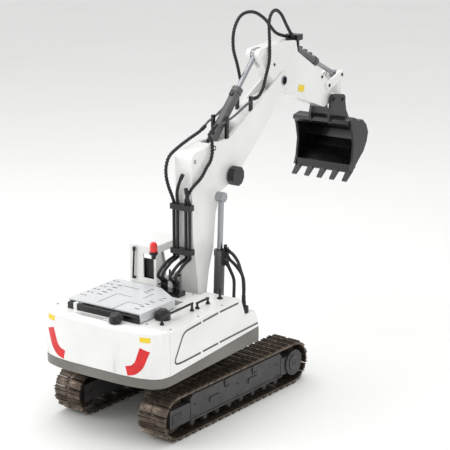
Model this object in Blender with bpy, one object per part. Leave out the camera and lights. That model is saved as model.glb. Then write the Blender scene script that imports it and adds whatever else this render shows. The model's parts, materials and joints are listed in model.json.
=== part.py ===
"""Hydraulic remote-control excavator, about 1:14, as named sub-parts in metres.

X is the machine's right, Y its front and Z up. The slew axis stands at SLEW_Y, so that the
whole model is centred on the world origin. Places below are measured from the slew axis,
with the ground at Z = 0.
"""

import math

import bmesh
import bpy
from mathutils import Matrix, Vector

# ---- Clearances ---------------------------------------------------------------------------
GAP = 0.0003            # between touching pieces
PIN_GAP = 0.0003        # radial, round a pin
SIDE_GAP = 0.0005       # beside a lug that turns

# ---- Overall sizes ------------------------------------------------------------------------
SLEW_Y = -0.1520        # world Y of the slew axis
TRACK_TURN = math.radians(-4)   # undercarriage against the house
TRACK_WIDTH = 0.250     # across both tracks
TRACK_LENGTH = 0.410
TRACK_HEIGHT = 0.082
SHOE_WIDTH = 0.058
SHOE_COUNT = 50
GROUSER = 0.0028
CHAIN_THICKNESS = 0.0045
SPROCKET_TEETH = 13
SPROCKET_AIR = 0.0014   # between the chain and a wheel inside it
WHEEL_WIDTH = 0.022
FRAME_WIDTH = 0.048     # of each track frame

HOUSE_LEFT = -0.1355    # the house stands a little to the left of the slew axis
HOUSE_RIGHT = 0.1165
HOUSE_FRONT = 0.063
HOUSE_REAR = 0.190      # where the tail starts to curve
TAIL_DEPTH = 0.050      # of that curve
FLOOR_Z = 0.108         # underside of the upper frame
FLOOR_THICKNESS = 0.004
SKIRT_REAR = 0.016      # height of the skirt at the tail
SKIRT_FRONT = 0.026     # and at the front
DECK_Z = 0.200
SHELF_Z = 0.1665          # the step at the front of the right deck
COVER_WALL = 0.003
COUNTERWEIGHT_TOP = 0.202
COUNTERWEIGHT_WALL = 0.012
COUNTERWEIGHT_FRONT = -0.200

HOOD_LEFT, HOOD_RIGHT = -0.100, 0.052
HOOD_FRONT, HOOD_REAR = -0.062, -0.193
HOOD_TOP = 0.217
HOOD_WALL = 0.003

CAB_WIDTH = 0.059
CAB_REAR, CAB_FRONT = -0.020, 0.080
CAB_TOP = 0.274
CAB_WALL = 0.003

# ---- Boom, stick and bucket, as (Y, Z) from the slew axis -----------------------------------
BOOM_WIDTH = 0.035
BOOM_FOOT = (0.031, 0.170)
LIFT_BASE = (0.064, 0.134)
LIFT_EYE = (0.0745, 0.354)
BOOM_HUMP = (0.0705, 0.4405)
STICK_CYL_BASE = (0.0770, 0.4395)
STICK_PIVOT = (0.298, 0.527)
STICK_EYE = (0.226, 0.5835)
STICK_WIDTH = 0.027
BUCKET_CYL_BASE = (0.338, 0.587)
ROCKER_PIVOT = (0.4645, 0.4925)
ROCKER_TOP = (0.513, 0.507)
BUCKET_PIN = (0.475, 0.464)
LINK_PIN = (0.509, 0.4585)
BUCKET_WIDTH = 0.126
BUCKET_WALL = 0.003
TOOTH_COUNT = 5
EAR_THICKNESS = 0.005
ROCKER_THICKNESS = 0.0042

BIG_PIN = 0.005
SMALL_PIN = 0.0032
HOLLOW_PIN = 0.0087
LIFT_BARREL = 0.0095    # radius
LIFT_BARREL_LENGTH = 0.125
STICK_BARREL = 0.0092
STICK_BARREL_LENGTH = 0.129
BUCKET_BARREL = 0.0082
BUCKET_BARREL_LENGTH = 0.110
LIFT_ROD = 0.0052
SMALL_ROD = 0.0045
LIFT_TRAVEL = 0.049     # how far each rod goes back into its barrel
STICK_TRAVEL = 0.046
BUCKET_TRAVEL = 0.012
EYE_HALF = 0.007        # half thickness of a lift cylinder's eye
SMALL_EYE_HALF = 0.0045
HOSE = 0.0029           # radius
CORD_SIDES = 2          # bevel resolution of a hose

# ---- Worked out from the above --------------------------------------------------------------
BOOM_HALF = BOOM_WIDTH / 2
STICK_HALF = STICK_WIDTH / 2
LIFT_X = BOOM_HALF + 0.002 + LIFT_BARREL
TOWER_IN = BOOM_HALF + SIDE_GAP
TOWER_OUT = LIFT_X - EYE_HALF - SIDE_GAP
LUG_IN = LIFT_X + EYE_HALF + SIDE_GAP
LUG_OUT = LUG_IN + 0.003
CHANNEL = LUG_OUT + 0.004
CAB_RIGHT = -CHANNEL - 0.001
CAB_LEFT = CAB_RIGHT - CAB_WIDTH
TRACK_X = (TRACK_WIDTH - SHOE_WIDTH) / 2
WHEEL_Z = TRACK_HEIGHT / 2
WHEEL_Y = TRACK_LENGTH / 2 - WHEEL_Z
CHAIN_OUT = WHEEL_Z - GROUSER
CHAIN_IN = CHAIN_OUT - CHAIN_THICKNESS
ROCKER_IN = STICK_HALF + SIDE_GAP
ROCKER_OUT = ROCKER_IN + ROCKER_THICKNESS
EAR_IN = ROCKER_OUT + SIDE_GAP
EAR_OUT = EAR_IN + EAR_THICKNESS
SLOT_HALF = STICK_HALF + SIDE_GAP

HOSE_X = (-0.0170, -0.0095, 0.0085, 0.0165)    # four hoses side by side up the boom
MANIFOLD_Y = -0.040
CLAMPED_Y = -0.004      # where the clamps hold the hoses
UNION_AT = (0.1045, 0.033)

WHITE = ("white_paint", (0.86, 0.87, 0.86), 0.28, 0.0)
GREY = ("grey_paint", (0.20, 0.195, 0.19), 0.45, 0.0)
HOOD_GREY = ("light_grey_paint", (0.66, 0.69, 0.71), 0.4, 0.0)
DARK = ("dark_grey_paint", (0.075, 0.075, 0.075), 0.5, 0.0)
BLACK = ("black_paint", (0.012, 0.012, 0.013), 0.3, 0.0)
STEEL = ("browned_steel", (0.17, 0.14, 0.115), 0.4, 1.0)
BRIGHT = ("bright_steel", (0.62, 0.62, 0.63), 0.22, 1.0)
BARREL = ("barrel_paint", (0.10, 0.10, 0.10), 0.35, 0.3)
RUBBER = ("hose_rubber", (0.012, 0.012, 0.012), 0.6, 0.0)
PLASTIC = ("black_plastic", (0.02, 0.02, 0.02), 0.5, 0.0)
LENS = ("red_lens", (0.75, 0.02, 0.02), 0.1, 0.0)


def clear_scene():
    for obj in list(bpy.data.objects):
        bpy.data.objects.remove(obj, do_unlink=True)


def material(finish):
    name, colour, roughness, metallic = finish
    made = bpy.data.materials.get(name)
    if made is None:
        made = bpy.data.materials.new(name)
        made.use_nodes = True
        shader = made.node_tree.nodes["Principled BSDF"]
        shader.inputs["Base Color"].default_value = (*colour, 1)
        shader.inputs["Roughness"].default_value = roughness
        shader.inputs["Metallic"].default_value = metallic
    return made


def frame_empty(name, turn=0.0):
    empty = bpy.data.objects.new(name, None)
    empty.location = (0, SLEW_Y, 0)
    empty.rotation_euler = (0, 0, turn)
    bpy.context.scene.collection.objects.link(empty)
    return empty


# ---- Plain shapes -----------------------------------------------------------------------------
def mesh_object(name, bm):
    bmesh.ops.recalc_face_normals(bm, faces=bm.faces)
    mesh = bpy.data.meshes.new(name)
    bm.to_mesh(mesh)
    bm.free()
    obj = bpy.data.objects.new(name, mesh)
    bpy.context.scene.collection.objects.link(obj)
    return obj


def extrude(outline, direction, plane):
    """A prism: outline holds pairs, plane turns a pair into a point, direction is its length."""
    bm = bmesh.new()
    face = bm.faces.new([bm.verts.new(plane(a, b)) for a, b in outline])
    made = bmesh.ops.extrude_face_region(bm, geom=[face])
    moved = [v for v in made["geom"] if isinstance(v, bmesh.types.BMVert)]
    bmesh.ops.translate(bm, verts=moved, vec=direction)
    bmesh.ops.triangulate(bm, faces=[f for f in bm.faces if len(f.verts) > 4])
    return bm


def side_prism(outline, x0, x1, name="part"):
    """(Y, Z) outline, from x0 to x1."""
    return mesh_object(name, extrude(outline, (x1 - x0, 0, 0), lambda y, z: (x0, y, z)))


def plan_prism(outline, z0, z1, name="part"):
    """(X, Y) outline, from z0 to z1."""
    return mesh_object(name, extrude(outline, (0, 0, z1 - z0), lambda x, y: (x, y, z0)))


def box(low, high, name="part"):
    corners = [(low[0], low[1]), (high[0], low[1]), (high[0], high[1]), (low[0], high[1])]
    return plan_prism(corners, low[2], high[2], name)


def cylinder(start, end, radius, sides=16, name="part", tip=None):
    """A round bar from start to end. tip is the radius at its end, if that differs."""
    bm = bmesh.new()
    start, end = Vector(start), Vector(end)
    turn = (end - start).to_track_quat("Z", "Y").to_matrix().to_4x4()
    bmesh.ops.create_cone(
        bm, cap_ends=True, segments=sides, radius1=radius, radius2=radius if tip is None else tip,
        depth=(end - start).length, matrix=Matrix.Translation((start + end) / 2) @ turn)
    return mesh_object(name, bm)


def pin(centre, radius, x0, x1, sides=16):
    return cylinder((x0, *centre), (x1, *centre), radius, sides)


def arc(centre, radius, start, end, count):
    """count + 1 points on a circle, with angles in degrees from +first axis."""
    return [
        (centre[0] + radius * math.cos(a), centre[1] + radius * math.sin(a))
        for a in (math.radians(start + (end - start) * i / count) for i in range(count + 1))]


def along(start, end, distance):
    """The point that lies distance from start on the way to end, in the (Y, Z) plane."""
    step = Vector(end) - Vector(start)
    return tuple(Vector(start) + step.normalized() * distance)


def offset(point, dy, dz):
    return (point[0] + dy, point[1] + dz)


def boolean(base, operation, label, helpers, parent):
    """Joins helpers to base, or cuts them from it, and hides them."""
    group = bpy.data.collections.new(label)
    bpy.context.scene.collection.children.link(group)
    for index, helper in enumerate(helpers):
        helper.name = f"{label}_{index}"
        helper.hide_render = True
        helper.display_type = "WIRE"
        helper.parent = parent
        bpy.context.scene.collection.objects.unlink(helper)
        group.objects.link(helper)
    modifier = base.modifiers.new(label, "BOOLEAN")
    modifier.operation = operation
    modifier.operand_type = "COLLECTION"
    modifier.collection = group
    modifier.solver = "EXACT"


def cut_first(base, label, cutters, parent):
    boolean(base, "DIFFERENCE", label, cutters, parent)


def assemble(name, finish, base, joins=(), cuts=(), pivot=(0, 0, 0), parent=None, smooth=True):
    """base, joined with joins and then cut by cuts, as one node whose origin is at pivot."""
    base.name = name
    base.data.name = name
    base.data.materials.append(material(finish))
    if joins:
        boolean(base, "UNION", f"{name}_joined", joins, parent)
    if cuts:
        boolean(base, "DIFFERENCE", f"{name}_cut", cuts, parent)
    base.data.transform(Matrix.Translation(-Vector(pivot)))
    base.location = pivot
    base.parent = parent
    if smooth:
        base.data.shade_smooth()
        base.data.set_sharp_from_angle(angle=math.radians(35))
    return base


# ---- Undercarriage ------------------------------------------------------------------------------
def stadium(radius, ridges=0):
    """The outline of a belt round both end wheels, in (Y, Z), with ridges across if asked."""
    straight = 2 * WHEEL_Y
    total = 2 * straight + 2 * math.pi * radius

    def at(s, r):
        s %= total
        if s < straight:
            return (-WHEEL_Y + s, WHEEL_Z - r)
        s -= straight
        if s < math.pi * radius:
            a = s / radius - math.pi / 2
            return (WHEEL_Y + r * math.cos(a), WHEEL_Z + r * math.sin(a))
        s -= math.pi * radius
        if s < straight:
            return (WHEEL_Y - s, WHEEL_Z + r)
        a = (s - straight) / radius + math.pi / 2
        return (-WHEEL_Y + r * math.cos(a), WHEEL_Z + r * math.sin(a))

    if not ridges:
        return [at(total * i / 64, radius) for i in range(64)]
    pitch = total / ridges
    shape = ((0.05, 0), (0.15, GROUSER), (0.30, GROUSER), (0.40, 0))
    return [at((i + f) * pitch, radius + h) for i in range(ridges) for f, h in shape]


def make_track(side, parent):
    x = side * TRACK_X
    name = "right" if side > 0 else "left"
    inner = stadium(CHAIN_IN)
    assemble(
        f"{name}_track_chain", STEEL,
        side_prism(stadium(CHAIN_OUT, SHOE_COUNT), x - SHOE_WIDTH / 2, x + SHOE_WIDTH / 2),
        cuts=[side_prism(inner, x - SHOE_WIDTH, x + SHOE_WIDTH)], parent=parent, smooth=False)

    # The frame lies between the two runs of the chain and stops short of both wheels.
    wheel = CHAIN_IN - SPROCKET_AIR
    end = WHEEL_Y - wheel - 0.002
    low, high = WHEEL_Z - 0.018, WHEEL_Z + 0.029
    half = FRAME_WIDTH / 2
    slope = 0.008
    body = [(-end, low), (end, low), (end, high - slope), (end - slope, high),
            (-end + slope, high), (-end, high - slope)]
    fork = WHEEL_WIDTH / 2 + 0.002
    axle = BIG_PIN
    ends = []
    cuts = []
    for way in (-1, 1):
        inside = (way * (end - 0.006), way * (WHEEL_Y + 0.018))
        for edge in (-1, 1):
            x0, x1 = sorted((x + edge * fork, x + edge * half))
            ends.append(box((x0, min(inside), low + 0.002), (x1, max(inside), high - 0.013)))
        cuts.append(pin((way * WHEEL_Y, WHEEL_Z), axle + PIN_GAP, x - 0.05, x + 0.05))
    assemble(
        f"{name}_track_frame", DARK, side_prism(body, x - half, x + half),
        joins=ends, cuts=cuts, parent=parent, smooth=False)

    # Rollers stand on one spine bar under the frame, above the lower run.
    top = low - GAP
    bottom = WHEEL_Z - CHAIN_IN + SPROCKET_AIR
    radius = (top - bottom) / 2
    count = 8
    spread = end - 0.012
    rollers = [
        pin((spread * (2 * i / (count - 1) - 1), bottom + radius), radius, x - 0.014, x + 0.014, 12)
        for i in range(count)]
    spine = box((x - 0.008, -spread - radius / 2, bottom + radius * 0.6),
                (x + 0.008, spread + radius / 2, top))
    assemble(f"{name}_roller_set", STEEL, spine, joins=rollers, parent=parent)

    # Wheels turn on their own axle, which runs in the frame's fork.
    for kind, y in (("sprocket", WHEEL_Y), ("idler", -WHEEL_Y)):
        if kind == "sprocket":
            rim = []
            for i in range(SPROCKET_TEETH):
                a = 360 * i / SPROCKET_TEETH
                rim += arc((y, WHEEL_Z), wheel, a, a + 9, 1)
                rim += arc((y, WHEEL_Z), wheel - 0.005, a + 13, a + 23, 1)
            disc = side_prism(rim, x - WHEEL_WIDTH / 4, x + WHEEL_WIDTH / 4)
        else:
            disc = pin((y, WHEEL_Z), wheel, x - WHEEL_WIDTH / 2, x + WHEEL_WIDTH / 2, 26)
        joins = [pin((y, WHEEL_Z), axle, x - half - 0.001, x + half + 0.001)]
        if kind == "sprocket":
            joins.append(pin((y, WHEEL_Z), 0.013, x - WHEEL_WIDTH / 2, x + WHEEL_WIDTH / 2, 16))
        assemble(f"{name}_{kind}", DARK if kind == "sprocket" else STEEL, disc, joins=joins,
                 pivot=(x, y, WHEEL_Z), parent=parent)

    # The travel motor is bolted to the outside of the frame, over the sprocket's axle.
    outer = x + side * half
    cover = pin((WHEEL_Y, WHEEL_Z), 0.0235, *sorted((outer + side * GAP, outer + side * 0.003)), 26)
    dome = pin((WHEEL_Y, WHEEL_Z), 0.0150, *sorted((outer + side * 0.002, outer + side * 0.0045)), 20)
    recess = pin((WHEEL_Y, WHEEL_Z), axle + 0.001,
                 *sorted((outer - side * 0.004, outer + side * 0.0022)))
    assemble(f"{name}_travel_motor", DARK, cover, joins=[dome], cuts=[recess], parent=parent)


def make_undercarriage(parent):
    for side in (-1, 1):
        make_track(side, parent)
    inner = TRACK_X - FRAME_WIDTH / 2 - GAP
    deck_low, deck_high = WHEEL_Z - 0.010, WHEEL_Z + 0.036
    block = plan_prism(arc((0, 0), 0.056, 0, 360 - 11.25, 31), deck_low, deck_high)
    legs = []
    for y in (-0.055, 0.055):
        legs.append(side_prism(
            [(y - 0.017, deck_low + 0.001), (y + 0.017, deck_low + 0.001),
             (y + 0.017, WHEEL_Z + 0.015), (y - 0.017, WHEEL_Z + 0.015)], -inner, inner))
    assemble("car_body", DARK, block, joins=legs, parent=parent, smooth=False)
    ring = plan_prism(arc((0, 0), 0.050, 0, 350, 35), deck_high + GAP, FLOOR_Z - GAP)
    groove = cylinder((0, 0, 0), (0, 0, 0.2), 0.020, 24)
    assemble("slew_ring", BRIGHT, ring, cuts=[groove], parent=parent)


# ---- House ----------------------------------------------------------------------------------------
def skirt_top(y):
    share = (y + HOUSE_REAR) / (HOUSE_REAR + HOUSE_FRONT)
    return FLOOR_Z + SKIRT_REAR + max(share, 0.0) * (SKIRT_FRONT - SKIRT_REAR)


def tail(inset, count=24, power=3.4):
    """The curved rear of the house in (X, Y), from its right side round to its left."""
    middle = (HOUSE_LEFT + HOUSE_RIGHT) / 2
    half, depth = (HOUSE_RIGHT - HOUSE_LEFT) / 2 - inset, TAIL_DEPTH - inset
    points = []
    for i in range(count + 1):
        a = math.pi * i / count
        c, s = math.cos(a), math.sin(a)
        points.append((middle + half * math.copysign(abs(c) ** (2 / power), c),
                       -HOUSE_REAR - depth * abs(s) ** (2 / power)))
    return points


def make_upper_frame(parent):
    wall = COVER_WALL
    outer = [(HOUSE_RIGHT, HOUSE_FRONT)] + tail(0) + [(HOUSE_LEFT, HOUSE_FRONT)]
    inside = ([(HOUSE_RIGHT - wall, HOUSE_FRONT - wall)] + tail(wall)
              + [(HOUSE_LEFT + wall, HOUSE_FRONT - wall)])
    tray = plan_prism(outer, FLOOR_Z, FLOOR_Z + SKIRT_FRONT)
    hollow = plan_prism(inside, FLOOR_Z + FLOOR_THICKNESS, FLOOR_Z + 0.1)
    # The rim rises towards the front.
    over = side_prism(
        [(-0.4, skirt_top(-0.4)), (-HOUSE_REAR, skirt_top(-HOUSE_REAR)), (0.2, skirt_top(0.2)),
         (0.2, 0.3), (-0.4, 0.3)], -0.3, 0.3)
    # The rim is open where the boom swings down between the two front decks.
    gate = box((-CHANNEL, HOUSE_FRONT - 0.01, FLOOR_Z + FLOOR_THICKNESS),
               (CHANNEL, HOUSE_FRONT + 0.01, 0.3))

    floor = FLOOR_Z + FLOOR_THICKNESS / 2
    foot, base = BOOM_FOOT, LIFT_BASE
    tower = ([(foot[0] - 0.016, floor), (base[0] + 0.011, floor)]
             + arc(base, 0.011, 0, 90, 6)
             + [(base[0] - 0.013, base[1] + 0.012), (foot[0] + 0.014, foot[1])]
             + arc(foot, 0.014, 0, 180, 12))
    lug = ([(base[0] - 0.011, floor), (base[0] + 0.011, floor)] + arc(base, 0.011, 0, 180, 12))
    joins = []
    for side in (-1, 1):
        joins.append(side_prism(tower, *sorted((side * TOWER_IN, side * TOWER_OUT))))
        joins.append(side_prism(lug, *sorted((side * LUG_IN, side * LUG_OUT))))
        joins.append(pin(base, SMALL_PIN, *sorted((side * (TOWER_OUT - 0.001), side * (LUG_OUT + 0.001)))))
    joins.append(pin(foot, BIG_PIN, -TOWER_OUT - 0.002, TOWER_OUT + 0.002))
    # The step beside the cab door.
    joins.append(box((HOUSE_LEFT + 0.001, CAB_REAR + 0.001, FLOOR_Z + 0.001),
                     (CAB_LEFT - 0.006, HOUSE_FRONT - 0.001, skirt_top(CAB_REAR))))
    # The towers stand inside the rim, so the tray is cut first and joined to them after.
    cut_first(tray, "upper_frame_hollow", [hollow, over, gate], parent)
    assemble("upper_frame", GREY, tray, joins=joins, parent=parent, smooth=False)


def deck_profile(rear, front, drop=True):
    """The side outline of a cover in (Y, Z), above the skirt."""
    low = [(rear, skirt_top(rear) + GAP), (front, skirt_top(front) + GAP)]
    if not drop:
        return low + [(front, DECK_Z), (rear, DECK_Z)]
    return low + [(front, DECK_Z - 0.062), (front - 0.005, DECK_Z - 0.047), (front - 0.012, SHELF_Z + 0.0005),
                  (front - 0.016, SHELF_Z), (front - 0.043, SHELF_Z), (front - 0.056, DECK_Z), (rear, DECK_Z)]


def make_cover(name, x0, x1, outline, parent):
    """A cover open below and at the back, with walls of COVER_WALL."""
    wall = COVER_WALL
    ys = [p[0] for p in outline]
    front, rear = max(ys), min(ys)
    inside = []
    for y, z in outline:
        lifted = z - wall * (1.3 if y < front - wall else 1.0)
        inside.append((min(y, front) - (wall if y > rear else -wall), lifted if z > 0.14 else z - 0.02))
    assemble(name, WHITE, side_prism(outline, x0, x1),
             cuts=[side_prism(inside, x0 + wall, x1 - wall)], parent=parent, smooth=False)


def make_house(parent):
    make_upper_frame(parent)
    bottom = skirt_top(COUNTERWEIGHT_FRONT) + GAP
    outer = [(HOUSE_RIGHT, COUNTERWEIGHT_FRONT)]
    outer += [p for p in tail(0) if p[1] < COUNTERWEIGHT_FRONT - 0.001]
    outer.append((HOUSE_LEFT, COUNTERWEIGHT_FRONT))
    wall = COUNTERWEIGHT_WALL
    inner = [(HOUSE_RIGHT - wall, COUNTERWEIGHT_FRONT + 0.01)]
    inner += [p for p in tail(wall) if p[1] < COUNTERWEIGHT_FRONT - 0.001]
    inner.append((HOUSE_LEFT + wall, COUNTERWEIGHT_FRONT + 0.01))
    block = plan_prism(outer, bottom, COUNTERWEIGHT_TOP)
    bevel = block.modifiers.new("Edges", "BEVEL")
    bevel.width = 0.004
    bevel.segments = 1
    bevel.limit_method = "ANGLE"
    bevel.angle_limit = math.radians(60)
    assemble("counterweight", WHITE, block,
             cuts=[plan_prism(inner, bottom - 0.01, COUNTERWEIGHT_TOP - wall)], parent=parent)

    rear = COUNTERWEIGHT_FRONT + GAP
    make_cover("right_cover", CHANNEL, HOUSE_RIGHT, deck_profile(rear, HOUSE_FRONT), parent)
    make_cover("left_cover", HOUSE_LEFT, -CHANNEL, deck_profile(rear, CAB_REAR - 0.002, False), parent)
    make_cover("centre_cover", -CHANNEL + GAP, CHANNEL - GAP,
               [(HOOD_FRONT + 0.002, DECK_Z - 0.030), (-0.014, DECK_Z - 0.030),
                (-0.014, DECK_Z), (HOOD_FRONT + 0.002, DECK_Z)], parent)

    # The hood's right front corner is cut off, and its rear is open.
    def hood_plan(inset, rear):
        return [(HOOD_LEFT + inset, rear), (HOOD_RIGHT - inset, rear),
                (HOOD_RIGHT - inset, HOOD_FRONT - 0.036 - inset * 0.3),
                (HOOD_RIGHT - 0.055 - inset * 0.3, HOOD_FRONT - inset), (HOOD_LEFT + inset, HOOD_FRONT - inset)]

    hood = plan_prism(hood_plan(0, HOOD_REAR), DECK_Z + 0.0015, HOOD_TOP)
    assemble("hood", HOOD_GREY, hood,
             cuts=[plan_prism(hood_plan(HOOD_WALL, HOOD_REAR - 0.01), DECK_Z - 0.01, HOOD_TOP - HOOD_WALL)],
             pivot=(0, HOOD_FRONT, DECK_Z + 0.003), parent=parent, smooth=False)

    # What stands on the decks.
    knob = cylinder((0.018, -0.216, COUNTERWEIGHT_TOP + GAP), (0.018, -0.216, COUNTERWEIGHT_TOP + 0.010),
                    0.0085, 24)
    cap = cylinder((0.018, -0.215, COUNTERWEIGHT_TOP + 0.006), (0.018, -0.219, COUNTERWEIGHT_TOP + 0.016),
                   0.0125, 24, tip=0.0075)
    assemble("exhaust_cap", BLACK, knob, joins=[cap], parent=parent)
    filter_x = HOOD_RIGHT + 0.0145
    body = cylinder((filter_x, -0.152, DECK_Z + GAP), (filter_x, -0.152, DECK_Z + 0.012), 0.0130, 28)
    dome = cylinder((filter_x, -0.152, DECK_Z + 0.011), (filter_x, -0.152, DECK_Z + 0.017),
                    0.0122, 28, tip=0.007)
    assemble("air_filter_cap", BLACK, body, joins=[dome], parent=parent)
    make_rail("long_handrail", 0.083, -0.177, -0.092, 0.015, parent)
    make_rail("short_handrail", 0.084, -0.078, -0.047, 0.012, parent)

    manifold = box((-0.026, -0.050, DECK_Z + GAP), (0.025, -0.030, DECK_Z + 0.008))
    ports = [cylinder((x, MANIFOLD_Y, DECK_Z + 0.006), (x, MANIFOLD_Y, DECK_Z + 0.014), 0.0036, 14)
             for x in HOSE_X]
    assemble("hose_manifold", BLACK, manifold, joins=ports, parent=parent)
    union = cylinder((*UNION_AT, SHELF_Z + GAP), (*UNION_AT, SHELF_Z + 0.011), 0.0085, 24)
    port = cylinder((*UNION_AT, SHELF_Z + 0.010), (*UNION_AT, SHELF_Z + 0.020), 0.0040, 16)
    assemble("deck_union", PLASTIC, union, joins=[port], parent=parent)


def make_rail(name, x, rear, front, height, parent):
    """A grab rail on two feet, standing on the right deck."""
    low = DECK_Z + GAP
    bar = cylinder((x, rear - 0.002, low + height - 0.002), (x, front + 0.002, low + height - 0.002), 0.002, 10)
    joins = []
    for y in (rear, front):
        joins.append(cylinder((x, y, low), (x, y, low + height - 0.001), 0.0021, 8))
        joins.append(cylinder((x, y, low), (x, y, low + 0.003), 0.0038, 10))
    assemble(name, BLACK, bar, joins=joins, parent=parent)


def make_bay(parent):
    """What works inside the house."""
    floor = FLOOR_Z + FLOOR_THICKNESS + GAP
    assemble("battery", BLACK, box((-0.040, -0.196, floor), (0.040, -0.150, floor + 0.050)),
             parent=parent)
    motor = cylinder((-0.034, -0.115, floor + 0.022), (0.010, -0.115, floor + 0.022), 0.019, 28)
    pump = box((0.008, -0.130, floor + 0.008), (0.036, -0.100, floor + 0.036))
    feet = [box((x, -0.128, floor), (x + 0.006, -0.102, floor + 0.010)) for x in (-0.026, 0.012)]
    assemble("pump_unit", BRIGHT, motor, joins=[pump, *feet], parent=parent)


def make_cab(parent):
    low = skirt_top(CAB_FRONT) + GAP
    x0, x1 = CAB_LEFT, CAB_RIGHT
    slope = 0.016
    side = [(CAB_REAR, low), (CAB_FRONT - 0.012, low), (CAB_FRONT, low + 0.030),
            (CAB_FRONT, low + 0.075), (CAB_FRONT - slope, CAB_TOP - 0.004),
            (CAB_FRONT - slope - 0.006, CAB_TOP), (CAB_REAR + 0.004, CAB_TOP), (CAB_REAR, CAB_TOP - 0.004)]
    wall = CAB_WALL
    shell = side_prism(side, x0, x1)
    inside = [(CAB_REAR + wall, low + wall), (CAB_FRONT - 0.016, low + wall),
              (CAB_FRONT - wall, low + 0.032), (CAB_FRONT - wall, low + 0.074),
              (CAB_FRONT - slope - wall, CAB_TOP - 0.006), (CAB_FRONT - slope - 0.012, CAB_TOP - wall),
              (CAB_REAR + wall, CAB_TOP - wall)]
    sill = DECK_Z + 0.012
    cuts = [
        side_prism(inside, x0 + wall, x1 - wall),
        box((x0 + 0.030, CAB_REAR - 0.01, sill), (x1 - 0.006, CAB_REAR + 0.01, CAB_TOP - 0.018)),
        box((x0 + 0.007, CAB_FRONT - 0.040, low + 0.040), (x1 - 0.007, CAB_FRONT + 0.01, CAB_TOP - 0.012)),
        side_prism([(CAB_REAR + 0.014, sill), (CAB_FRONT - 0.010, sill),
                    (CAB_FRONT - slope - 0.012, CAB_TOP - 0.014), (CAB_REAR + 0.014, CAB_TOP - 0.014)],
                   x1 - 0.01, x1 + 0.01),
        box((x0 - 0.01, CAB_REAR + 0.010, low + 0.012), (x0 + 0.01, CAB_FRONT - 0.030, CAB_TOP - 0.014)),
    ]
    assemble("cab_shell", WHITE, shell, cuts=cuts, parent=parent, smooth=False)

    # The door closes the left opening from outside and is hung at the rear edge.
    d0, d1 = CAB_REAR + 0.007, CAB_FRONT - 0.027
    z0, z1 = low + 0.009, CAB_TOP - 0.011
    out = x0 - GAP
    door = side_prism([(d0, z0), (d1, z0), (d1, z1), (d0, z1)], out - 0.0025, out)
    pane = box((out - 0.01, d0 + 0.008, sill), (out + 0.01, d1 - 0.008, z1 - 0.008))
    knuckles = [cylinder((out - 0.0028, d0, z), (out - 0.0028, d0, z + 0.010), 0.0022, 14)
                for z in (z0 + 0.012, z1 - 0.024)]
    assemble("cab_door", WHITE, door, joins=knuckles, cuts=[pane],
             pivot=(out - 0.0028, d0, (z0 + z1) / 2), parent=parent, smooth=False)

    mid = (x0 + x1) / 2 + 0.005
    seat = box((mid - 0.0145, CAB_REAR + 0.012, low + wall + GAP), (mid + 0.0145, CAB_REAR + 0.050, low + 0.055))
    back = side_prism(
        [(CAB_REAR + 0.007, low + 0.050), (CAB_REAR + 0.018, low + 0.050), (CAB_REAR + 0.014, CAB_TOP - 0.030),
         (CAB_REAR + 0.007, CAB_TOP - 0.030)], mid - 0.0135, mid + 0.0135)
    joins = [back]
    for side in (-1, 1):
        x = mid + side * 0.0155
        joins.append(box((x - 0.003, CAB_REAR + 0.030, low + 0.040), (x + 0.003, CAB_REAR + 0.056, low + 0.060)))
        joins.append(cylinder((x, CAB_REAR + 0.050, low + 0.055), (x, CAB_REAR + 0.052, low + 0.082), 0.0018, 12))
    assemble("cab_seat", PLASTIC, seat, joins=joins, parent=parent)

    # The beacon stands on a bracket behind the cab's right rear pillar.
    bx, by, bz = x1 + 0.001, CAB_REAR - 0.009, CAB_TOP - 0.020
    stem = cylinder((bx, by, bz), (bx, by, bz + 0.010), 0.0038, 20)
    collar = cylinder((bx, by, bz + 0.008), (bx, by, bz + 0.013), 0.0075, 24)
    arm = box((bx - 0.004, by, bz + 0.001), (bx - 0.001, CAB_REAR - GAP, bz + 0.008))
    assemble("beacon_base", BLACK, stem, joins=[collar, arm], parent=parent)
    glow = cylinder((bx, by, bz + 0.013 + GAP), (bx, by, bz + 0.026), 0.0066, 24)
    top = cylinder((bx, by, bz + 0.0255), (bx, by, bz + 0.030), 0.0066, 24, tip=0.0040)
    assemble("beacon_lens", LENS, glow, joins=[top], parent=parent)
    ry = CAB_REAR - 0.004
    rail = cylinder((x0 + 0.010, ry, DECK_Z + 0.010), (x0 + 0.013, ry, CAB_TOP - 0.012), 0.0017, 12)
    ball = cylinder((x0 + 0.013, ry, CAB_TOP - 0.014), (x0 + 0.013, ry, CAB_TOP - 0.007), 0.0028, 14)
    heel = box((x0 + 0.008, ry, DECK_Z + 0.008), (x0 + 0.014, CAB_REAR - GAP, DECK_Z + 0.012))
    assemble("cab_handrail", BLACK, rail, joins=[ball, heel], parent=parent)


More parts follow.
